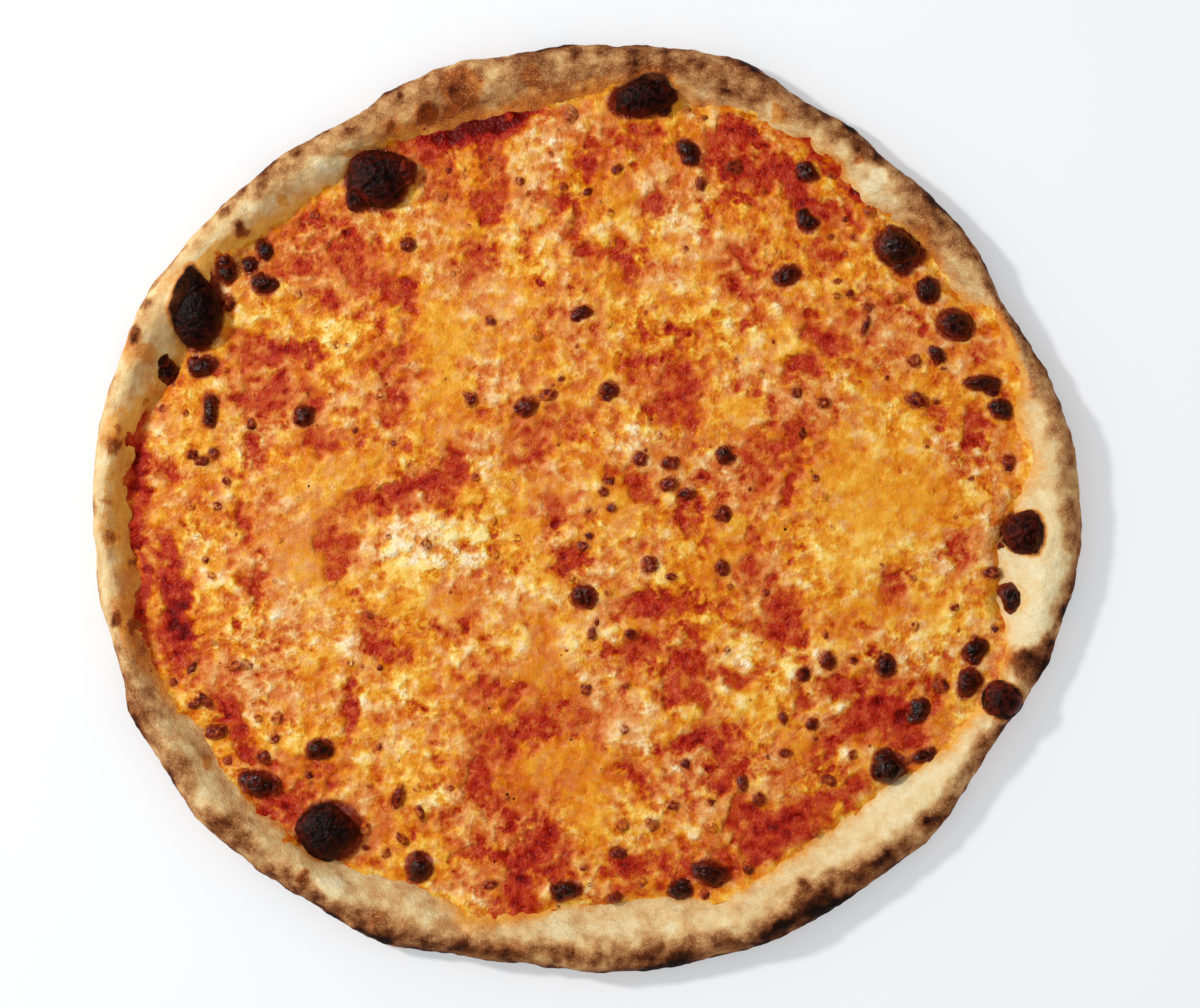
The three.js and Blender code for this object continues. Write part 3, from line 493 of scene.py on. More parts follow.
def round_list(rows, angle):
    """Every later column of (angle in degrees, value, ...) rows, blended round the pizza."""
    at = [row[0] for row in rows]
    columns = list(zip(*rows))[1:]
    return [np.interp(np.degrees(angle) % 360, at, column, period=360) for column in columns]


# ----------------------------------------
# The topping's form.

# Noises as (size, reach, seed).
EDGE_NOISE = ((13, 1.5, 21), (6, 1.0, 22), (3, 0.5, 23))
WARP_NOISE = ((15, 3.6, 31), (6, 2.2, 33), (2.6, 1.2, 35))
COVER_NOISE = ((26, 0.08, 41), (11, 0.11, 42), (5.2, 0.13, 43), (2.6, 0.11, 44))
GOLDEN_NOISE = ((30, 0.4, 46),)
TEAR_NOISE = ((7, 0.35, 47), (3.2, 0.45, 48))
LIVELY_NOISE = ((30, 0.4, 49), (9, 0.4, 50))
CHEESE_RELIEF = ((8, 0.30, 51), (4, 0.26, 52), (2.2, 0.16, 53))
SUNK_NOISE = ((8, 0.2, 55), (3.5, 0.12, 56))
BORDER_NOISE = ((4, 2, 57),)
FLECK_NOISE = ((6, 0.3, 58), (2.8, 0.24, 59))
BORDER_COVER_NOISE = ((6, 0.3, 60),)
SAUCE_RELIEF = ((7, 0.30, 61), (3, 0.34, 62), (1.7, 0.22, 63))
OTHER_LAYER = 500  # a height at which the same noise looks unrelated

# Cover is the cheese's share of the tone, from 0, sauce, to 1, thick cheese.
BASE_COVER = 0.555
BASE_GOLDEN = 0.5
BASE_LIVELY = 0.78
LEAST_LIVELY = 0.15
PATCH_FADE = (0.3, 1.75)  # where a patch starts to fade and is gone, in half widths
GLOW_FADE = (0.5, 2.7)
GLOW_DEPTH = 0.17  # how much thinner the cheese is round an opening
ZONE_HOLD = 0.85  # how fully a smooth stretch takes over, what it leaves of the pattern, and how it calms it
ZONE_PATTERN = 0.3
ZONE_CALM = 0.6
TEARING = 4
FLECKED = 0.88
SUNK_COVER = 0.05
SUNK_DULL = 0.7
PALE_RISE = 0.3
BORDER = (-3, 0.5)  # from and to, across the cheese's edge
BORDER_SHARE = 0.75
BORDER_COVER = 0.66
BORDER_GOLDEN = 1.2
BAND_WIDTH = 2
BAND_DEPTH = 0.75

# Heights.
OPENING = (-0.05, 0.5)  # the cover at which the cheese has sunk away and at which it is whole
OPEN_DEPTH = 2.4
CHEESE_SINK = 0.3
COVER_RISE = 0.9
CHEESE_FILM_RELIEF = 0.5
SAUCE_SINK = 0.15
SAUCE_INSET = 0.4
SAUCE_FILM_RELIEF = 0.4
FILM = 0.9
FADE = 2.6
EDGE_SLOPE = 0.45


def oval(x, y, cx, cy, length, width, turn, narrow=0):
    """0 in the middle of an oval, 1 on its outline, and more outside. `narrow` pinches its far end."""
    along, aside = along_heading(x - cx, y - cy, turn)
    along = along / (length / 2)
    aside = aside / (width / 2)
    return np.hypot(along, aside / (1 - narrow * np.clip(along, 0, 1)))


def patch_share(x, y, row, fade=PATCH_FADE):
    """1 inside a patch, 0 well outside it."""
    px, py, length, width, turn = row[:5]
    return 1 - smooth_step(*fade, oval(x, y, *from_photo(px, py), length, width, turn))


def covered(x, y, rows, fade=PATCH_FADE):
    """How much of a place a list of patches covers, each by its strength."""
    return 1 - np.prod([1 - row[5] * patch_share(x, y, row, fade) for row in rows], axis=0)


def warped(x, y):
    """The place pushed about a little, so that patches get uneven outlines."""
    shift_x = layers_of_noise(x, y, 0, WARP_NOISE)
    shift_y = layers_of_noise(x, y, OTHER_LAYER, WARP_NOISE)
    return x + shift_x, y + shift_y


def topping(x, y):
    """What lies at a place: how far cheese covers sauce, how golden it is, and how lively its pattern."""
    wx, wy = warped(x, y)
    lively = BASE_LIVELY + layers_of_noise(x, y, 0, LIVELY_NOISE)
    golden = BASE_GOLDEN + layers_of_noise(x, y, 0, GOLDEN_NOISE)
    cover = BASE_COVER + layers_of_noise(x, y, 0, COVER_NOISE)
    for row in SMOOTH_ZONES:
        share = ZONE_HOLD * patch_share(wx, wy, row)
        cover = towards(cover, row[5] + ZONE_PATTERN * (cover - BASE_COVER), share)
        golden = towards(golden, row[6], share)
        lively = lively * (1 - ZONE_CALM * share)
    bare = covered(wx, wy, RED_PATCHES)
    pale = covered(wx, wy, PALE_PATCHES)
    glow = covered(wx, wy, RED_PATCHES, GLOW_FADE)
    bare = bare + TEARING * bare * (1 - bare) * layers_of_noise(x, y, 0, TEAR_NOISE)
    bare = np.clip(bare * (FLECKED + layers_of_noise(x, y, 0, FLECK_NOISE)), 0, 1)
    cover = cover - GLOW_DEPTH * glow * (1 - pale) + PALE_RISE * pale * (1 - bare)
    cover = towards(cover, SUNK_COVER + layers_of_noise(x, y, 0, SUNK_NOISE), bare)
    golden = golden * (1 - SUNK_DULL * bare)
    edge, cheese_edge = topping_edge(np.arctan2(y, x))
    band = np.clip((edge - cheese_edge) / BAND_WIDTH, 0, 1)
    beyond = np.hypot(x, y) - cheese_edge + layers_of_noise(x, y, 0, BORDER_NOISE)
    outside = BORDER_SHARE * smooth_step(*BORDER, beyond)
    border = BORDER_COVER + layers_of_noise(x, y, 0, BORDER_COVER_NOISE) - BAND_DEPTH * band
    cover = towards(cover, border, outside)
    golden = towards(golden, BORDER_GOLDEN, outside * (1 - band))
    # Thick sauce, and painted shade where the rim shadows the top and left borders, lower the cover.
    for row in DEEP_SAUCE_AND_RIM_SHADE:
        cover = cover - row[5] * patch_share(wx, wy, row)
    return {"cover": cover, "golden": golden, "lively": np.clip(lively, LEAST_LIVELY, None)}


def topping_edge(angle):
    """Radius of the edge of all the topping, and of the cheese alone."""
    (edge,) = round_list(TOPPING_EDGE, angle)
    x, y = edge * np.cos(angle), edge * np.sin(angle)
    edge = edge + layers_of_noise(x, y, 0, EDGE_NOISE)
    band = 0
    for at, spread, width in SAUCE_BANDS:
        band = band + width * bell(angle_from(angle, at), math.radians(spread))
    return edge, edge - band


def cheese_swell(x, y):
    total = CHEESE_TOP
    for length, heading, reach, start in CHEESE_WAVES:
        along, _ = along_heading(x, y, heading)
        total = total + reach * np.sin(FULL_TURN * along / length + start)
    return total


def film_height(x, y, edge):
    """Height of a thin film on the slope, which goes under the bread's surface beyond its edge."""
    fade = np.clip((edge - np.hypot(x, y)) / FADE, -1, 1)
    return bread_height(x, y) + FILM * fade


def laid(x, y, edge, flat, film):
    """The higher of a flat layer and a film, but no steeper from the edge inwards than the edge's slope."""
    rise = EDGE_SLOPE * np.clip(edge - np.hypot(x, y), 0, None)
    return np.minimum(np.maximum(flat, film), film + rise)


def cheese_height(x, y, cover):
    _, edge = topping_edge(np.arctan2(y, x))
    relief = layers_of_noise(x, y, 0, CHEESE_RELIEF)
    flat = cheese_swell(x, y) - CHEESE_SINK + COVER_RISE * (cover - BASE_COVER) + relief
    film = film_height(x, y, edge) + CHEESE_FILM_RELIEF * relief
    return laid(x, y, edge, flat, film) - OPEN_DEPTH * (1 - smooth_step(*OPENING, cover))


def sauce_height(x, y):
    edge, _ = topping_edge(np.arctan2(y, x))
    relief = layers_of_noise(x, y, 0, SAUCE_RELIEF)
    film = film_height(x, y, edge - SAUCE_INSET) - SAUCE_SINK + SAUCE_FILM_RELIEF * relief
    return laid(x, y, edge, SAUCE_TOP + relief, film)


# ----------------------------------------
# Meshes.

LAYER_BOTTOM = 3.0
LAYER_THIN = 0.2
LAYER_OVERLAP = 2.4


def make_piece(name, points, faces, values, material, slot, *nodes):
    """One smooth mesh from points in millimetres, with a number or arrow per point for each named value."""
    mesh = bpy.data.meshes.new(name)
    shifted = (np.asarray(points) - (MIDDLE[0], MIDDLE[1], 0)) * MM
    mesh.from_pydata(shifted.tolist(), [], [face for kind in faces for face in kind.tolist()])
    for title, value in values.items():
        value = np.ascontiguousarray(value, np.float32)
        kind, field = ("FLOAT", "value") if value.ndim == 1 else ("FLOAT_VECTOR", "vector")
        mesh.attributes.new(title, kind, "POINT").data.foreach_set(field, value.ravel())
    mesh.shade_smooth()
    mesh.materials.append(material)
    made = bpy.data.objects.new(name, mesh)
    bpy.context.scene.collection.objects.link(made)
    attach(made, "root")
    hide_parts(*nodes)
    return made


def ring_faces(first, count, rings):
    """Quads between rings of `count` points each, the first ring's points starting at index `first`."""
    ring = np.arange(rings - 1)[:, None] * count + first
    step = np.arange(count)[None, :]
    after = (step + 1) % count
    near, far = ring + step, ring + after
    return np.stack([near, far, far + count, near + count], -1).reshape(-1, 4)


def fan_faces(centre, first, count, upwards):
    """Triangles from a centre point to a ring of `count` points, facing up or down."""
    step = np.arange(count)
    after = (step + 1) % count
    ends = (first + step, first + after) if upwards else (first + after, first + step)
    return np.stack([np.full(count, centre), *ends], -1)


def disc_grid(count):
    """Points of a square grid pulled out to a round disc of radius 1, its quads, and its edge's indices."""
    line = np.linspace(-1, 1, count)
    u, v = np.meshgrid(line, line)
    x = u * np.sqrt(1 - v**2 / 2)
    y = v * np.sqrt(1 - u**2 / 2)
    index = np.arange(count * count).reshape(count, count)
    quads = np.stack([index[:-1, :-1], index[:-1, 1:], index[1:, 1:], index[1:, :-1]], -1).reshape(-1, 4)
    edge = np.concatenate([index[0, :-1], index[:-1, -1], index[-1, :0:-1], index[:0:-1, 0]])
    return x.ravel(), y.ravel(), quads, edge


def layer_mesh(count, edge_of):
    """A round sheet's places, and two functions for them.

    `closed` gives the sheet's points and faces, shut from below, once its heights are known. `spread` gives
    every one of those points a value, from the values of the places.
    """
    u, v, quads, rim = disc_grid(count)
    angle = np.arctan2(v, u)
    reach = edge_of(angle) + LAYER_OVERLAP
    x, y = u * reach, v * reach

    def closed(z):
        top = np.stack([x, y, np.maximum(z, LAYER_BOTTOM + LAYER_THIN)], -1)
        low = top[rim] * (1, 1, 0) + (0, 0, LAYER_BOTTOM)
        points = np.concatenate([top, low, [(0, 0, LAYER_BOTTOM)]])
        below = len(top) + np.arange(len(rim))
        wall = np.stack([rim, below, np.roll(below, -1), np.roll(rim, -1)], -1)
        bottom = fan_faces(len(points) - 1, len(top), len(rim), upwards=False)
        return points, [quads, wall, bottom]

    def spread(value):
        return np.concatenate([value, value[rim], [0]])

    return x, y, closed, spread


# ----------------------------------------
# Materials.

# Tones of the topping from sauce, 0, to thick cheese, 1: where more tomato, and where more oil soaked in.
TOMATO_TONES = (
    (0.00, (168, 24, 4)), (0.12, (181, 46, 12)), (0.24, (193, 76, 26)), (0.38, (205, 102, 40)),
    (0.52, (215, 130, 64)), (0.66, (226, 158, 92)), (0.82, (238, 193, 138)), (1.00, (248, 224, 188)),
)
OIL_TONES = (
    (0.00, (158, 28, 2)), (0.12, (175, 50, 2)), (0.24, (193, 77, 3)), (0.38, (208, 105, 6)),
    (0.52, (220, 132, 18)), (0.66, (231, 160, 44)), (0.82, (241, 193, 88)), (1.00, (248, 221, 144)),
)
SAUCE_TONES = (
    (0.20, (96, 3, 0)), (0.36, (144, 13, 3)), (0.50, (174, 38, 12)), (0.62, (195, 70, 34)),
    (0.76, (214, 106, 68)), (0.90, (237, 154, 116)),
)
TOAST_TONES = (
    (0.00, (240, 227, 188)), (0.12, (233, 208, 157)), (0.25, (220, 184, 128)), (0.38, (202, 153, 98)),
    (0.50, (180, 128, 77)), (0.62, (158, 102, 57)), (0.74, (132, 75, 35)), (0.85, (100, 50, 21)),
    (0.93, (66, 28, 9)), (1.00, (32, 12, 4)),
)
RUST_TONES = ((0.1, (228, 162, 76)), (0.4, (188, 104, 36)), (0.65, (144, 68, 18)), (0.9, (74, 26, 6)))
# Tones of the oil stain, which also paints the shade where the bread's slope meets the topping.
STAIN_AND_SHADE_TONES = ((0.1, (240, 172, 70)), (0.4, (214, 120, 34)), (0.7, (152, 66, 16)))
BURN_TONES = (
    (0.00, (214, 128, 44)), (0.20, (194, 100, 30)), (0.35, (160, 64, 18)), (0.50, (124, 35, 10)),
    (0.65, (88, 16, 4)), (0.80, (54, 8, 2)), (1.00, (20, 5, 3)),
)
FLOUR_TONE = (230, 190, 140)
# Painted shade of the crust's small pores.
PORE_SHADE_TONE = (116, 62, 26)
TABLE_TONES = ((197, 198, 200), (202, 203, 205))

MIX_FIRST, MIX_SECOND, MIX_RESULT = 6, 7, 2  # a mix node's sockets for colours
SEED_STEPS = (0.37, 0.53, 0.71)
CURD_SMOOTHNESS = 0.25
CURD_BEND = 2.4  # how far crumbs are bent, and the size of the bends, both against the crumbs' size
CURD_BEND_SCALE = 0.6
SWING = (0.3, 0.7)  # the stretch of a noise that an uneven value follows
CREST_SWING = (0.54, 0.72)  # the stretch that only a noise's high places reach
TABLE_GLOW = 0.3


def colour(red, green, blue):
    """A colour as seen on a screen, 0 to 255, in Blender's linear numbers."""
    parts = [part / 255 for part in (red, green, blue)]
    return (*(p / 12.92 if p <= 0.04045 else ((p + 0.055) / 1.055) ** 2.4 for p in parts), 1)


class Nodes:
    """A material and short ways to add nodes to it."""

    def __init__(self, name):
        self.material = bpy.data.materials.new(name)
        self.material.use_nodes = True
        self.tree = self.material.node_tree
        self.shader = self.tree.nodes["Principled BSDF"]
        self.place = self.add("ShaderNodeTexCoord").outputs["Object"]

    def add(self, kind, **settings):
        node = self.tree.nodes.new(kind)
        for title, setting in settings.items():
            setattr(node, title, setting)
        return node

    def join(self, value, socket):
        """Links an output to an input, or sets a plain value on it."""
        if isinstance(value, bpy.types.NodeSocket):
            self.tree.links.new(value, socket)
        else:
            socket.default_value = value

    def fill(self, node, **values):
        """Joins values to the inputs with these titles, written with _ for a space."""
        for title, value in values.items():
            self.join(value, node.inputs[title.replace("_", " ")])
        return node

    def value(self, title):
        return self.add("ShaderNodeAttribute", attribute_name=title).outputs["Fac"]

    def arrow(self, title):
        return self.add("ShaderNodeAttribute", attribute_name=title).outputs["Vector"]

    def arrow_maths(self, operation, *values):
        node = self.add("ShaderNodeVectorMath", operation=operation)
        for value, socket in zip(values, node.inputs):
            self.join(value, socket)
        return node.outputs[0]

    def noise(self, size, detail=3, rough=0.6, place=None, seed=0):
        place = self.place if place is None else place
        if seed:
            place = self.arrow_maths("ADD", place, tuple(step * seed for step in SEED_STEPS))
        node = self.add("ShaderNodeTexNoise")
        self.fill(node, Scale=1 / (size * MM), Detail=detail, Roughness=rough, Vector=place)
        return node.outputs["Fac"]

    def curds(self, size):
        """A random number from 0 to 1 for each of many uneven crumbs."""
        bend = self.add("ShaderNodeTexNoise")
        self.fill(bend, Scale=CURD_BEND_SCALE / (size * MM), Detail=3, Vector=self.place)
        reach = (CURD_BEND * size * MM,) * 3
        bent = self.arrow_maths("MULTIPLY_ADD", bend.outputs["Color"], reach, self.place)
        node = self.add("ShaderNodeTexVoronoi", feature="SMOOTH_F1")
        self.fill(node, Scale=1 / (size * MM), Smoothness=CURD_SMOOTHNESS, Vector=bent)
        parts = self.add("ShaderNodeSeparateColor")
        self.join(node.outputs["Color"], parts.inputs[0])
        return parts.outputs[0]

    def maths(self, operation, *values):
        node = self.add("ShaderNodeMath", operation=operation)
        for value, socket in zip(values, node.inputs):
            self.join(value, socket)
        return node.outputs[0]

    def total(self, first, *others):
        for other in others:
            first = self.maths("ADD", first, other)
        return first

    def product(self, first, second):
        return self.maths("MULTIPLY", first, second)

    def shift(self, base, pattern, reach):
        """The base value moved up and down by a pattern that lies round 0.5."""
        return self.total(base, self.product(self.maths("SUBTRACT", pattern, 0.5), reach))

    def between(self, value, low, high, to_low=0.0, to_high=1.0):
        """The value's stretch from low to high, turned into an even S from to_low to to_high."""
        node = self.add("ShaderNodeMapRange", interpolation_type="SMOOTHSTEP")
        self.fill(node, Value=value, From_Min=low, From_Max=high, To_Min=to_low, To_Max=to_high)
        return node.outputs["Result"]

    def uneven(self, low, high, size, detail=3):
        """A value that wanders between low and high."""
        return self.between(self.noise(size, detail), *SWING, low, high)

    def ramp(self, value, stops):
        node = self.add("ShaderNodeValToRGB")
        elements = node.color_ramp.elements
        while len(elements) < len(stops):
            elements.new(1)
        for element, (at, tone) in zip(elements, stops):
            element.position = at
            element.color = colour(*tone)
        self.join(value, node.inputs["Fac"])
        return node.outputs["Color"]

    def mix(self, share, first, second):
        node = self.add("ShaderNodeMix", data_type="RGBA")
        self.join(share, node.inputs["Factor"])
        self.join(first, node.inputs[MIX_FIRST])
        self.join(second, node.inputs[MIX_SECOND])
        return node.outputs[MIX_RESULT]

    def bump(self, height, distance, strength=1.0):
        node = self.add("ShaderNodeBump")
        self.fill(node, Strength=strength, Distance=distance * MM, Height=height)
        return node.outputs["Normal"]

    def two_bumps(self, fine, fine_depth, coarse, coarse_depth, fine_strength=1.0):
        """Coarse relief with fine relief on it, depths in millimetres."""
        node = self.bump(coarse, coarse_depth).node
        self.fill(node, Normal=self.bump(fine, fine_depth, fine_strength))
        return node.outputs["Normal"]

    def finish(self, tone, roughness, normal, gloss=0.5):
        self.fill(self.shader, Specular_IOR_Level=gloss, Base_Color=tone, Roughness=roughness, Normal=normal)
        return self.material


def topping_tones(made):
    """Colour of the cheese, or of the sauce where there is none, and the fine form that goes with it."""
    blotches = made.between(made.noise(7, 3, 0.5), 0.35, 0.65, -0.18, 0.18)
    fine = made.between(made.noise(1.6, 2, 0.5), *SWING, -0.06, 0.06)
    curds = made.between(made.curds(2.8), 0.2, 0.8, -0.04, 0.04)
    cream = made.between(made.noise(4, 3, 0.45, seed=3), *CREST_SWING, 0.0, 0.17)
    tomato = made.between(made.noise(7, 3, 0.55, seed=5), *CREST_SWING, 0.0, -0.36)
    pattern = made.total(blotches, fine, curds, cream, tomato)
    cover = made.maths("MULTIPLY_ADD", pattern, made.value("lively"), made.value("cover"))
    golden = made.shift(made.value("golden"), made.noise(5, 4, 0.65, seed=9), 2.6)
    tones = made.ramp(cover, TOMATO_TONES), made.ramp(cover, OIL_TONES)
    tone = made.mix(made.between(golden, 0.1, 0.8), *tones)
    pulp = made.shift(made.noise(5, 4, 0.55, seed=7), made.noise(0.9, 2, seed=8), 0.25)
    # Cover below 0, from thick sauce and from the painted rim shade, darkens the sauce's tone further.
    pulp = made.maths("MULTIPLY_ADD", made.maths("MINIMUM", cover, 0.0), 0.5, pulp)
    tone = made.mix(made.between(cover, -0.1, 0.36), made.ramp(pulp, SAUCE_TONES), tone)
    return tone, cover, pulp


def cheese_material():
    """Melted cheese, browned to black where the value burn is high."""
    made = Nodes("melted_cheese")
    tone, cover, _ = topping_tones(made)
    burn = made.shift(made.value("burn"), made.noise(1.8, 4, 0.7), 0.45)
    tone = made.mix(made.between(burn, 0.1, 0.5), tone, made.ramp(burn, BURN_TONES))
    normal = made.two_bumps(made.noise(1.2, 3), 0.6, cover, 1.4)
    return made.finish(tone, made.uneven(0.1, 0.3, 2.2), normal, made.between(burn, 0.2, 0.6, 0.25, 0.42))


def sauce_material():
    made = Nodes("tomato_sauce")
    tone, _, pulp = topping_tones(made)
    normal = made.two_bumps(made.noise(1.1, 2), 0.6, pulp, 2.2)
    return made.finish(tone, made.uneven(0.08, 0.24, 1.5, 2), normal, 0.3)


def crust_material():
    """Bread from pale to charred by the value toast, orange and oily places with painted shade, flour, pits
    of painted shade.
    """
    made = Nodes("baked_crust")
    toast = made.value("toast")
    patches = made.product(made.maths("SUBTRACT", made.noise(8, 5, 0.58), 0.5), 1.3)
    patches = made.shift(patches, made.noise(0.8, 3, 0.65), 0.4)
    amount = made.product(made.between(toast, 0.0, 0.5, 0.2, 1.0), made.between(toast, 1.0, 0.6, 0.4, 1.0))
    toast = made.maths("MULTIPLY_ADD", patches, amount, toast)
    rust = made.between(made.shift(made.value("rust"), made.noise(2.5, 4), 0.7), 0.1, 0.7, 0.0, 0.95)
    stain_and_shade = made.between(made.shift(made.value("stain_and_shade"), made.noise(2.5, 4), 0.8), 0.15, 0.8, 0.0, 0.95)
    floured = made.between(made.noise(0.8, 3, 0.75, seed=2), 0.54, 0.62)
    floured = made.product(floured, made.between(toast, 0.2, 0.5, 0.0, 0.4))
    floured = made.product(floured, made.between(toast, 0.9, 0.6))
    # Small pits of painted shade, where pores would hold shadow.
    pore_shade = made.product(made.between(made.noise(1.5, 3, 0.7, seed=4), 0.36, 0.3), 0.3)
    tone = made.mix(rust, made.ramp(toast, TOAST_TONES), made.ramp(toast, RUST_TONES))
    # The oil stain, which is also painted shade where the slope meets the topping.
    tone = made.mix(stain_and_shade, tone, made.ramp(toast, STAIN_AND_SHADE_TONES))
    tone = made.mix(floured, tone, colour(*FLOUR_TONE))
    tone = made.mix(pore_shade, tone, colour(*PORE_SHADE_TONE))
    grain = made.noise(2.8, 5, 0.65, made.arrow("grain"))
    normal = made.two_bumps(made.noise(0.8, 3, 0.7), 0.45, grain, 1.4)
    return made.finish(tone, made.uneven(0.62, 0.85, 3), normal, 0.08)


def charred_material():
    made = Nodes("charred_bread")
    burn = made.shift(made.value("burn"), made.noise(5, 5, 0.65), 0.5)
    normal = made.two_bumps(made.noise(0.8, 2), 0.3, made.noise(2.6, 4), 1.3, 0.7)
    return made.finish(made.ramp(burn, BURN_TONES), made.uneven(0.28, 0.45, 1.1, 2), normal, 0.16)


def floor_material():
    made = Nodes("pale_table")
    tone = made.mix(made.noise(180, 3), *(colour(*tone) for tone in TABLE_TONES))
    made.fill(made.shader, Emission_Color=(1, 1, 1, 1), Emission_Strength=TABLE_GLOW)
    return made.finish(tone, 0.7, made.bump(made.noise(2, 2), 0.02, 0.2))


# ----------------------------------------
# The bread.

CRUST_STEPS = 1300
CRUST_RINGS = 66
CRUST_LAST = 0.93
UNDER_SHARES = (0.3, 0.6, 0.8, 0.92, 0.98)
SECTION_LENGTH = 48
GRAIN_STRETCH = 0.65
NARROWING = 0.45  # how much bubbles are pinched at one end, more or less from one to the next
LEANING = 1.9
BUBBLE_SWELL = 1.2

# Relief: noises as (size, reach, seed), then shallow folds along the rim, here and there.
CRUST_RELIEF = ((24, 0.6, 70), (11, 0.6, 71), (5.5, 0.4, 72), (2.6, 0.22, 73))
FOLD_SIZE, FOLD_SEED = 3.2, 74
FOLD_DEPTH = 0.55
FOLD_WIDTH = 0.35
FOLDED_SIZE, FOLDED_SEED = 26, 75
FOLDED = (-0.2, 0.6)
CHAR_SWELL = 0.5
CHAR_SWELL_FROM = (0.55, 0.95)

# Baking.
INSET_NOISE = ((8, 1.6, 81), (3, 0.9, 82))
ANGLE_NOISE = ((7, 1.6, 83), (3, 0.9, 84))
CHARRED_SIZE, CHARRED_SEED = 14, 85
BAKING_NOISE = ((17, 0.13, 86), (8, 0.16, 87), (3.6, 0.1, 88))
BUBBLE_NOISE = ((4, 0.05, 89),)
BELOW_NOISE = ((30, 0.18, 91), (12, 0.22, 92))
BELOW_TOAST = 0.45
BAND_FADE = (0.45, 1.35)
SPOT_FADE = (0.45, 1.3)
BAKING_BASE = 0.12
FLANK_INSET = 6
FLANK_TOAST = 0.12
EDGE_CHAR = 0.3
EDGE_CHAR_WIDTH = 1.6
EDGE_CHARRED = (-0.1, 0.5)
RUST_GAIN = 1.25
HALO_STAIN = 0.5
BUBBLE_RUST = 0.9
BUBBLE_RUST_FROM = (-0.22, -0.02)
BUBBLE_CHAR_FROM = (-0.08, 0.06)
BUBBLE_TOAST = 0.98
LEAST_TOAST = 0.06


def spot_share(angle, inset, outer, row):
    """1 inside a spot of the rim, 0 well outside it. Places are angles and insets from the outer edge."""
    at, spot_inset, length, width, _ = row
    along = angle_from(angle, at) * outer / (length / 2)
    aside = (inset - spot_inset) / (width / 2)
    return 1 - smooth_step(*SPOT_FADE, np.hypot(along, aside))


def in_bubbles(x, y):
    """1 in the middle of a bubble of bread, 0 on its outline, and less outside."""
    ovals = [
        oval(x, y, bx, by, length, width, turn, NARROWING * math.cos(LEANING * index))
        for index, (bx, by, _, length, width, _, turn) in enumerate(BREAD_BUBBLES)
    ]
    return 1 - np.min(ovals, axis=0)


def toast_of(inset, wobble, outer, lower, place):
    """How far the bread is toasted, from 0, pale, to 1, charred."""
    reach, band, slope = round_list(TOAST_BANDS, wobble)
    toast = towards(slope, band, 1 - smooth_step(*BAND_FADE, inset / reach))
    toast = toast + (BAKING_BASE + toast) * layers_of_noise(*place, BAKING_NOISE)
    for row in TOAST_SPOTS:
        share = spot_share(wobble, inset, outer, row)
        toast = toast + share * (row[4] - toast if row[4] > 0 else row[4])
    charred = smooth_step(*EDGE_CHARRED, noise(*place, CHARRED_SIZE, CHARRED_SEED))
    return toast + FLANK_TOAST * lower + EDGE_CHAR * charred * bell(inset, EDGE_CHAR_WIDTH)


def rust_of(inset, wobble, outer):
    """How orange the bread baked."""
    return np.max([RUST_GAIN * row[4] * spot_share(wobble, inset, outer, row) for row in RUST_SPOTS], axis=0)


def stain_and_shade_of(angle, wobble, across, r, place, rows):
    """How much oil from the topping and its blisters stains the bread, and the painted shade at the slope's
    foot.
    """
    edge, _ = topping_edge(angle)
    strength, spread = round_list(OIL_STAIN_AND_SHADE, wobble)
    stain_and_shade = strength * np.exp(-np.clip(r - edge, 0, None) / spread) * (across > LOWER + UPPER)
    return np.maximum(stain_and_shade, HALO_STAIN * halo_of(*place[:2], rows))


def crust_values(angle, across, r, place, rows):
    """Toast, rust, and oil stain with painted shade, of the bread's surface."""
    outer, _, _ = rim_at(angle)
    lower = np.clip(1 - across / LOWER, 0, 1)
    inset = outer - r - FLANK_INSET * lower + layers_of_noise(*place, INSET_NOISE)
    wobble = angle + layers_of_noise(*place, ANGLE_NOISE) / outer
    toast = toast_of(inset, wobble, outer, lower, place)
    inside = in_bubbles(*place[:2]) + layers_of_noise(*place, BUBBLE_NOISE)
    rust = np.maximum(rust_of(inset, wobble, outer), BUBBLE_RUST * smooth_step(*BUBBLE_RUST_FROM, inside))
    charred = smooth_step(*BUBBLE_CHAR_FROM, inside)
    toast = np.clip(towards(toast, BUBBLE_TOAST, charred), LEAST_TOAST, 1)
    return toast, rust * (1 - charred), stain_and_shade_of(angle, wobble, across, r, place, rows) * (1 - charred)


def crust_relief(place, grain, toast):
    folds = np.abs(noise(*np.moveaxis(grain, -1, 0), FOLD_SIZE, FOLD_SEED))
    folded = smooth_step(*FOLDED, noise(*place, FOLDED_SIZE, FOLDED_SEED))
    relief = layers_of_noise(*place, CRUST_RELIEF) - FOLD_DEPTH * folded * (FOLD_WIDTH - folds).clip(0)
    relief = relief + CHAR_SWELL * smooth_step(*CHAR_SWELL_FROM, toast)
    return relief + BUBBLE_SWELL * in_bubbles(*place[:2]).clip(0) ** 0.5


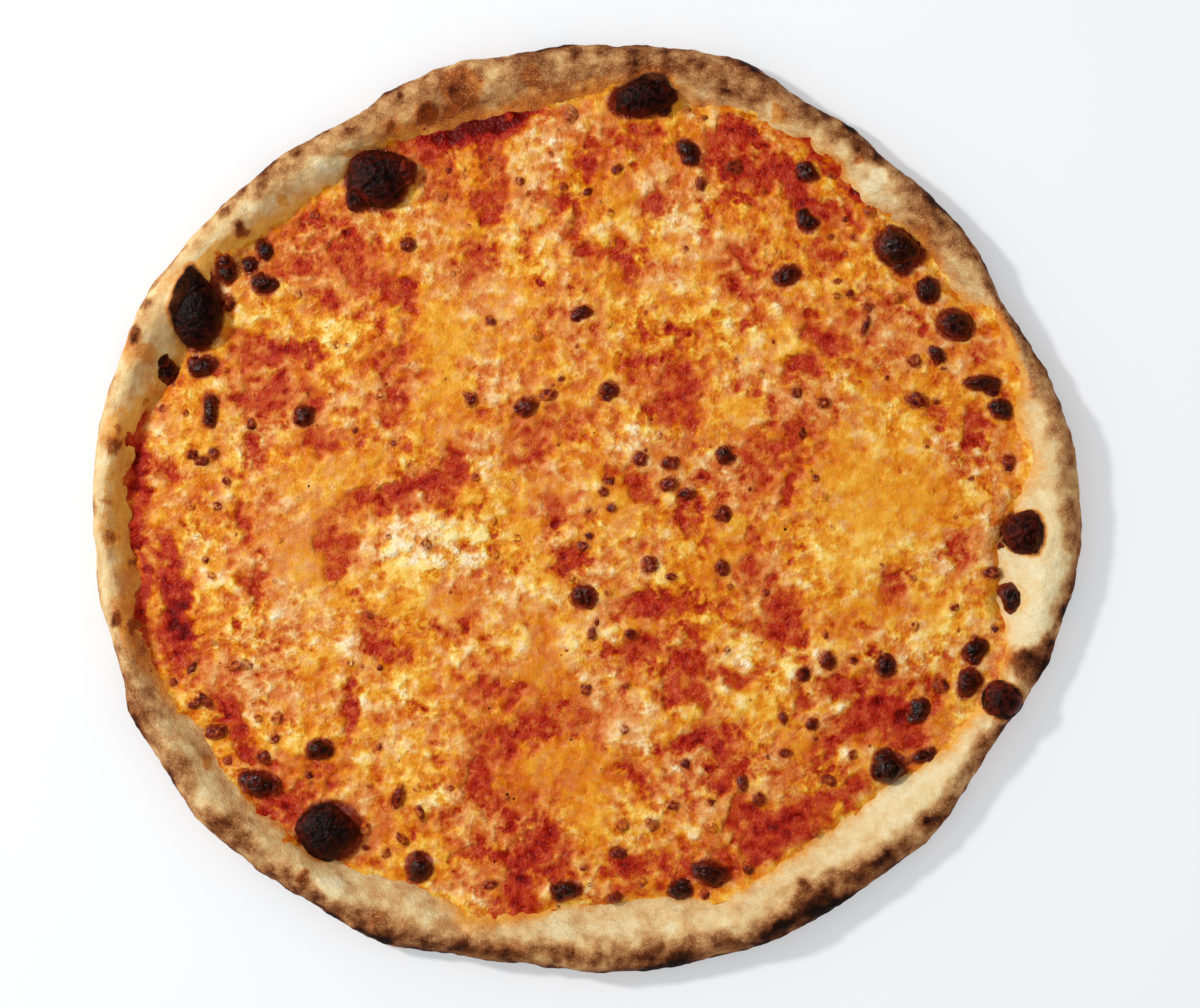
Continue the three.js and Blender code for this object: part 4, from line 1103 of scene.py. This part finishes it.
def make_crust(rows):
    """The bread in one shell: the underside's rings, the rim's section swept round, and the flat floor."""
    angle = FULL_TURN * np.arange(CRUST_STEPS) / CRUST_STEPS
    across = np.append(np.linspace(0, CRUST_LAST, CRUST_RINGS), 1.0)
    turn, over = np.meshgrid(angle, across)
    r, z = section(turn, over)
    place = (r * np.cos(turn), r * np.sin(turn), z)
    grain = round_points(turn, GRAIN_STRETCH * MEAN_RADIUS, over * SECTION_LENGTH)
    toast, rust, stain_and_shade = crust_values(turn, over, r, place, rows)
    r, z = section(turn, over, crust_relief(place, grain, toast) * np.sin(math.pi * over) ** 0.5)
    shell = round_points(turn, r, np.maximum(z, 0))
    under = np.array([shell[0] * share for share in UNDER_SHARES])
    points = np.concatenate([under.reshape(-1, 3), shell.reshape(-1, 3), [(0, 0, 0), (0, 0, FLOOR)]])
    rings = len(UNDER_SHARES) + len(across)
    faces = [
        ring_faces(0, CRUST_STEPS, rings),
        fan_faces(len(points) - 2, 0, CRUST_STEPS, upwards=False),
        fan_faces(len(points) - 1, (rings - 1) * CRUST_STEPS, CRUST_STEPS, upwards=True),
    ]
    below = BELOW_TOAST + layers_of_noise(under[..., 0], under[..., 1], 0, BELOW_NOISE).ravel()

    def spread(value, low, centre=0):
        return np.concatenate([low, value.ravel(), [centre, centre]])

    values = {
        "toast": spread(toast, below, BELOW_TOAST),
        "rust": spread(rust, np.zeros(len(below))),
        "stain_and_shade": spread(stain_and_shade, np.zeros(len(below))),
        "grain": np.concatenate([under.reshape(-1, 3), grain.reshape(-1, 3), [(0, 0, 0), (0, 0, 0)]]) * MM,
    }
    return make_piece("crust", points, faces, values, crust_material(), "baked_dough", "dough")


# ----------------------------------------
# Blisters. A row is x, y, base height, length, width, rise, turn, burn, pit, wrinkle.

BREAD_BUBBLE_BURNS = (1.0, 0.9, 0.95, 0.95, 0.8, 0.85)
BREAD_BUBBLE_WRINKLES = (0.1, 0.45, 0.35, 0.3, 0.08, 0.36)
BREAD_BUBBLE_LIFT = 1.5
BUBBLE_LOBES = (  # x, y, z, size, burn
    (-168.5, 94, 11.5, 16, 1.0), (33, 176, 9, 11, 0.72), (32, 169, 8, 6, 0.85), (-79, 142, 9, 12, 0.72),
    (-98, 130, 8, 9, 0.85),
)
BUBBLE_LOBE_RISE = 0.4
BUBBLE_LOBE_WRINKLE = 0.3

# Domes: sides, rings, flare, which above 1 spreads the foot, and how much less burnt the foot is.
BREAD_DOMES = (96, 44, 1, 0.2)
CHEESE_DOMES = (34, 14, 1.3, 0.36)
SMALL_DOMES = (14, 6, 1.5, 0.36)
SPECK_DOMES = (8, 3, 1, 0.2)
DOME_DOWN = 1.85  # how far down from its top a dome goes, in radians, and from where on it is upright
DOME_WIDEST = 1.75
DOME_FOOT = 0.4
SWELL = 0.22
SWELL_LESS = 0.08  # less so on large ones
SWELL_LARGE = (11, 17)
SWELL_SIZE, SWELL_SEED = 0.8, 101
SEED_APART = 3.1
TAPER = 0.1
PIT_WIDTH = 0.5
PIT_PALE = 0.9
CRINKLE, FINE_CRINKLE = 2.6, 0.6
CRINKLE_BASE = 0.9
CRINKLE_SIZE, CRINKLE_SEED = 3.4, 103
FINE_CRINKLE_SIZE, FINE_CRINKLE_SEED = 1.4, 104
CRINKLE_SHADE = 0.12
TOP_BURN = 1.04
FADING = (0.4, 1.0)

# Large bubbles: burn near the middle and how much more there is towards the rim, then their lobes.
LARGE_BURN = 0.76
OUTER_BURN = 0.16
OUTER = (90, 150)
BURN_SPREAD = (-0.06, 0.06)
LARGE_FROM = 10
LOBES = 2
LOBE_TURN = 0.6
LOBE_AWAY = 0.3
LOBE_SIZE = 0.6
LOBE_SIZES = (0.8, 1.1)
LOBE_BURNS = (0.8, 1)

# Small blisters.
BROWNING = 0.75  # how far the small blisters are burnt, where the large ones are charred, 1
BLISTER_SINK = 0.3
BLISTER_PITS = (0.1, 0.4)
SMALL_WIDTHS = (0.75, 1)
SMALL_BURNS = (0.45, 0.85)
SMALL_PITS = (0.1, 0.8)
RANDOM_BLISTERS = 330
RANDOM_REACH = 176
RANDOM_OUTWARDS = 0.85
RANDOM_SIZES = (1.4, 3.4)
RANDOM_WIDTHS = (0.7, 1)
RANDOM_BURNS = (0.15, 0.5)
RANDOM_PITS = (0, 0.8)
SPECK_WIDTH = 0.8
SPECK_TURN = 40
SPECK_BURN = 0.95
SPECK_WRINKLE = 0.05
HALO_LEAST = 0.9
HALO_GROWS = 0.08
HALO_ENDS = 3


def dome_points(rows, sides, rings, flare, fade):
    """Points of wrinkled domes and how burnt they are: for each row its rings, then its top and its foot."""
    x, y, base, length, width, rise, turn, burn, pit, wrinkle = (column[:, None, None] for column in rows.T)
    around = FULL_TURN * np.arange(sides) / sides
    theta, phi = np.meshgrid(around, np.linspace(0, DOME_DOWN, rings + 1)[1:])
    index = np.arange(len(rows))[:, None, None]
    lean = np.cos(LEANING * index)
    swell = SWELL - SWELL_LESS * smooth_step(*SWELL_LARGE, length)
    swell = 1 + swell * noise(np.cos(theta), np.sin(theta), SEED_APART * index, SWELL_SIZE, SWELL_SEED)
    swell = swell - TAPER * lean * np.cos(theta)
    out = np.sin(np.minimum(phi, DOME_WIDEST))
    up = np.sign(np.cos(phi)) * np.abs(np.cos(phi)) ** flare
    pinch = 1 - NARROWING * lean * (out * np.cos(theta)).clip(0)
    local_x = length / 2 * out * swell * np.cos(theta)
    local_y = width / 2 * out * swell * np.sin(theta) * pinch
    cos, sin = np.cos(np.radians(turn)), np.sin(np.radians(turn))
    px = x + local_x * cos - local_y * sin
    py = y + local_x * sin + local_y * cos
    pz = base + rise * (up - pit * bell(out, PIT_WIDTH) * (up > 0))
    crinkle = CRINKLE_BASE - CRINKLE * np.abs(noise(px, py, pz, CRINKLE_SIZE, CRINKLE_SEED))
    crinkle = crinkle + FINE_CRINKLE * noise(px, py, pz, FINE_CRINKLE_SIZE, FINE_CRINKLE_SEED)
    push = 1 + wrinkle * crinkle / (0.5 * np.sqrt(length * width))
    domes = np.stack([towards(x, px, push), towards(y, py, push), towards(base, pz, push)], -1)
    shade = burn * (TOP_BURN - fade * smooth_step(*FADING, out)) - CRINKLE_SHADE * crinkle
    shade = shade - PIT_PALE * burn * pit * bell(out, PIT_WIDTH)
    tops = np.stack([x, y, base + rise * (1 - pit)], -1)
    feet = np.stack([x, y, base - rise * DOME_FOOT], -1)
    count = len(rows)
    points = np.concatenate([part.reshape(count, -1, 3) for part in (domes, tops, feet)], 1)
    shades = np.concatenate([part.reshape(count, -1) for part in (shade, burn, burn)], 1)
    return points.reshape(-1, 3), shades.ravel()


def dome_faces(count, sides, rings):
    size = sides * rings
    kinds = (
        ring_faces(0, sides, rings)[:, ::-1],
        fan_faces(size, 0, sides, upwards=True),
        fan_faces(size + 1, size - sides, sides, upwards=False),
    )
    first = np.arange(count)[:, None, None] * (size + 2)
    return [(kind[None] + first).reshape(-1, kind.shape[1]) for kind in kinds]


def make_bubbles(name, rows, domes, material, slot, node):
    """Closed wrinkled domes in one mesh."""
    rows = np.array(rows, float)
    sides, rings, flare, fade = domes
    points, shades = dome_points(rows, sides, rings, flare, fade)
    values = {"burn": shades, **topping(points[:, 0], points[:, 1])}
    return make_piece(name, points, dome_faces(len(rows), sides, rings), values, material, slot, node)


def lie_on(x, y):
    """Height of the topping, or of the bread beside it, at a place."""
    cover = topping(x, y)["cover"]
    return np.max([cheese_height(x, y, cover), sauce_height(x, y), bread_height(x, y)], axis=0)


def seated(rows):
    """Rows with their base height on the topping and their rise from their size."""
    rows = np.array(rows, float)
    rows[:, 3:5] *= BLISTER_SHARE
    rows[:, 2] = lie_on(rows[:, 0], rows[:, 1]) - BLISTER_SINK
    rows[:, 5] = BUBBLE_RISE * np.sqrt(rows[:, 3] * rows[:, 4])
    return rows


def bread_bubble_rows():
    bubbles = zip(BREAD_BUBBLES, BREAD_BUBBLE_BURNS, BREAD_BUBBLE_WRINKLES)
    rows = [
        (x, y, z + BREAD_BUBBLE_LIFT, length, width, height / 2, turn, burn, 0, wrinkle)
        for (x, y, z, length, width, height, turn), burn, wrinkle in bubbles
    ]
    for x, y, z, size, burn in BUBBLE_LOBES:
        rows.append((x, y, z, size, size, BUBBLE_LOBE_RISE * size, 0, burn, 0, BUBBLE_LOBE_WRINKLE))
    return rows


def burnt_rows():
    """The large bubbles of cheese, each with a few lobes at its side, and the middle-sized blisters."""
    dice = np.random.default_rng(21)
    rows = []
    for x, y, length, width, turn in CHEESE_BUBBLES:
        burn = LARGE_BURN + OUTER_BURN * smooth_step(*OUTER, math.hypot(x, y)) + dice.uniform(*BURN_SPREAD)
        rows.append((x, y, 0, length, width, 0, turn, burn, 0.1, 0.4))
        for _ in range(LOBES if length > LARGE_FROM else 1):
            heading = math.radians(turn) + dice.choice((0, math.pi)) + dice.normal(0, LOBE_TURN)
            size = LOBE_SIZE * math.sqrt(length * width) * dice.uniform(*LOBE_SIZES)
            lobe_x = x + LOBE_AWAY * length * math.cos(heading)
            lobe_y = y + LOBE_AWAY * length * math.sin(heading)
            rows.append((lobe_x, lobe_y, 0, size, size, 0, 0, burn * dice.uniform(*LOBE_BURNS), 0.1, 0.3))
    for px, py, length, width, turn, burn in BLISTERS:
        pit = dice.uniform(*BLISTER_PITS)
        rows.append((*from_photo(px, py), 0, length, width, 0, turn, BROWNING * burn, pit, 0.25))
    return seated(rows)


def small_rows():
    """The small blisters that are listed, and many more at random."""
    dice = np.random.default_rng(22)
    rows = []
    for px, py, size in SMALL_BLISTERS:
        width = size * dice.uniform(*SMALL_WIDTHS)
        turn = dice.uniform(0, 180)
        burn = BROWNING * dice.uniform(*SMALL_BURNS)
        rows.append((*from_photo(px, py), 0, size, width, 0, turn, burn, dice.uniform(*SMALL_PITS), 0.14))
    for _ in range(RANDOM_BLISTERS):
        angle = dice.uniform(0, FULL_TURN)
        r = RANDOM_REACH * math.sqrt(dice.uniform(0, 1)) ** RANDOM_OUTWARDS
        size = dice.uniform(*RANDOM_SIZES)
        width = size * dice.uniform(*RANDOM_WIDTHS)
        turn = dice.uniform(0, 180)
        burn = dice.uniform(*RANDOM_BURNS)
        place = (r * math.cos(angle), r * math.sin(angle))
        rows.append((*place, 0, size, width, 0, turn, burn, dice.uniform(*RANDOM_PITS), 0.1))
    return seated(rows)


def speck_rows():
    return seated([
        (*from_photo(px, py), 0, size, SPECK_WIDTH * size, 0, SPECK_TURN, SPECK_BURN, 0, SPECK_WRINKLE)
        for px, py, size in SPECKS
    ])


def halo_of(x, y, rows):
    """How much a surface is browned round the blisters on it."""
    total = np.zeros_like(x)
    for bx, by, _, length, width, _, turn, burn, _, _ in rows:
        size = math.sqrt(length * width)
        reach = HALO_LEAST + HALO_GROWS * size
        end = length / 2 + HALO_ENDS * reach
        near = (np.abs(x - bx) < end) & (np.abs(y - by) < end)
        away = np.clip(oval(x[near], y[near], bx, by, length, width, turn) - 1, 0, None) * size / 2
        total[near] = np.maximum(total[near], burn * bell(away, reach))
    return total


# ----------------------------------------
# The topping's layers.

CHEESE_GRID = 311
SAUCE_GRID = 300
HALO_BURN = 0.55


def make_cheese(rows, material):
    x, y, closed, spread = layer_mesh(CHEESE_GRID, lambda angle: topping_edge(angle)[1])
    values = topping(x, y)
    points, faces = closed(cheese_height(x, y, values["cover"]))
    values["burn"] = HALO_BURN * halo_of(x, y, rows)
    values = {title: spread(value) for title, value in values.items()}
    return make_piece("cheese", points, faces, values, material, "melted_cheese", "melted_cheese")


def make_sauce():
    x, y, closed, spread = layer_mesh(SAUCE_GRID, lambda angle: topping_edge(angle)[0])
    points, faces = closed(sauce_height(x, y))
    values = {title: spread(value) for title, value in topping(x, y).items()}
    return make_piece("sauce", points, faces, values, sauce_material(), "tomato_sauce", "tomato_sauce")


# ----------------------------------------
# Table, light and camera. Sizes and distances here are in metres.

TABLE_SIZE = 8
TABLE_DROP = 0.1 * MM
KEY_FROM = (-1.0, 0.42)  # towards the key light, on the ground
KEY_ELEVATION = 41
KEY_DISTANCE = 1.9
KEY_SIZE = 0.2
KEY_POWER = 24.5
KEY_TONE = (1.0, 0.985, 0.96)
SKY_TONE = (0.96, 0.98, 1.0, 1)
SKY_POWER = 0.72

# Millimetres: focal length, sensor's width, and the height at which the photograph's scale holds.
LENS = 100
SENSOR = 36
SHARP_PLANE = 7


def make_table():
    half = TABLE_SIZE / 2
    mesh = bpy.data.meshes.new("table")
    corners = [(-half, -half, 0), (half, -half, 0), (half, half, 0), (-half, half, 0)]
    mesh.from_pydata(corners, [], [(0, 1, 2, 3)])
    mesh.materials.append(floor_material())
    table = bpy.data.objects.new("table", mesh)
    table.location.z = -TABLE_DROP
    bpy.context.scene.collection.objects.link(table)


def make_lights():
    key = bpy.data.lights.new("key", "AREA")
    key.shape = "DISK"
    key.size = KEY_SIZE
    key.energy = KEY_POWER
    key.color = KEY_TONE
    lamp = bpy.data.objects.new("key", key)
    bpy.context.scene.collection.objects.link(lamp)
    elevation = math.radians(KEY_ELEVATION)
    heading = math.atan2(KEY_FROM[1], KEY_FROM[0])
    level = math.cos(elevation)
    direction = (level * math.cos(heading), level * math.sin(heading), math.sin(elevation))
    lamp.location = [KEY_DISTANCE * part for part in direction]
    lamp.rotation_euler = (math.pi / 2 - elevation, 0, heading + math.pi / 2)
    world = bpy.data.worlds.new("soft_light")
    world.use_nodes = True
    sky = world.node_tree.nodes["Background"].inputs
    sky["Color"].default_value = SKY_TONE
    sky["Strength"].default_value = SKY_POWER
    world.cycles_visibility.glossy = False
    bpy.context.scene.world = world


def make_camera():
    """A camera straight above, far enough away for the photograph's scale."""
    lens = bpy.data.cameras.new("camera")
    lens.lens = LENS
    lens.sensor_width = SENSOR
    camera = bpy.data.objects.new("camera", lens)
    bpy.context.scene.collection.objects.link(camera)
    x, y = from_photo(PHOTO_SIZE[0] / 2, PHOTO_SIZE[1] / 2)
    distance = PHOTO_SIZE[0] * PHOTO_SCALE * LENS / SENSOR
    camera.location = ((x - MIDDLE[0]) * MM, (y - MIDDLE[1]) * MM, (distance + SHARP_PLANE) * MM)
    bpy.context.scene.camera = camera


def build():
    make_camera()
    make_lights()
    make_table()
    large, small, bread = burnt_rows(), small_rows(), bread_bubble_rows()
    make_crust(large)
    make_sauce()
    cheese = cheese_material()
    make_cheese(np.concatenate([large, small, bread]), cheese)
    slots = ("melted_cheese", "melted_cheese")
    make_bubbles("burnt_bread_bubbles", bread, BREAD_DOMES, charred_material(), "baked_dough", "dough")
    make_bubbles("burnt_cheese_bubbles", large, CHEESE_DOMES, cheese, *slots)
    make_bubbles("browned_blisters", small, SMALL_DOMES, cheese, *slots)
    make_bubbles("char_specks", speck_rows(), SPECK_DOMES, cheese, *slots)
    bpy.context.scene.view_settings.view_transform = "Standard"


build()
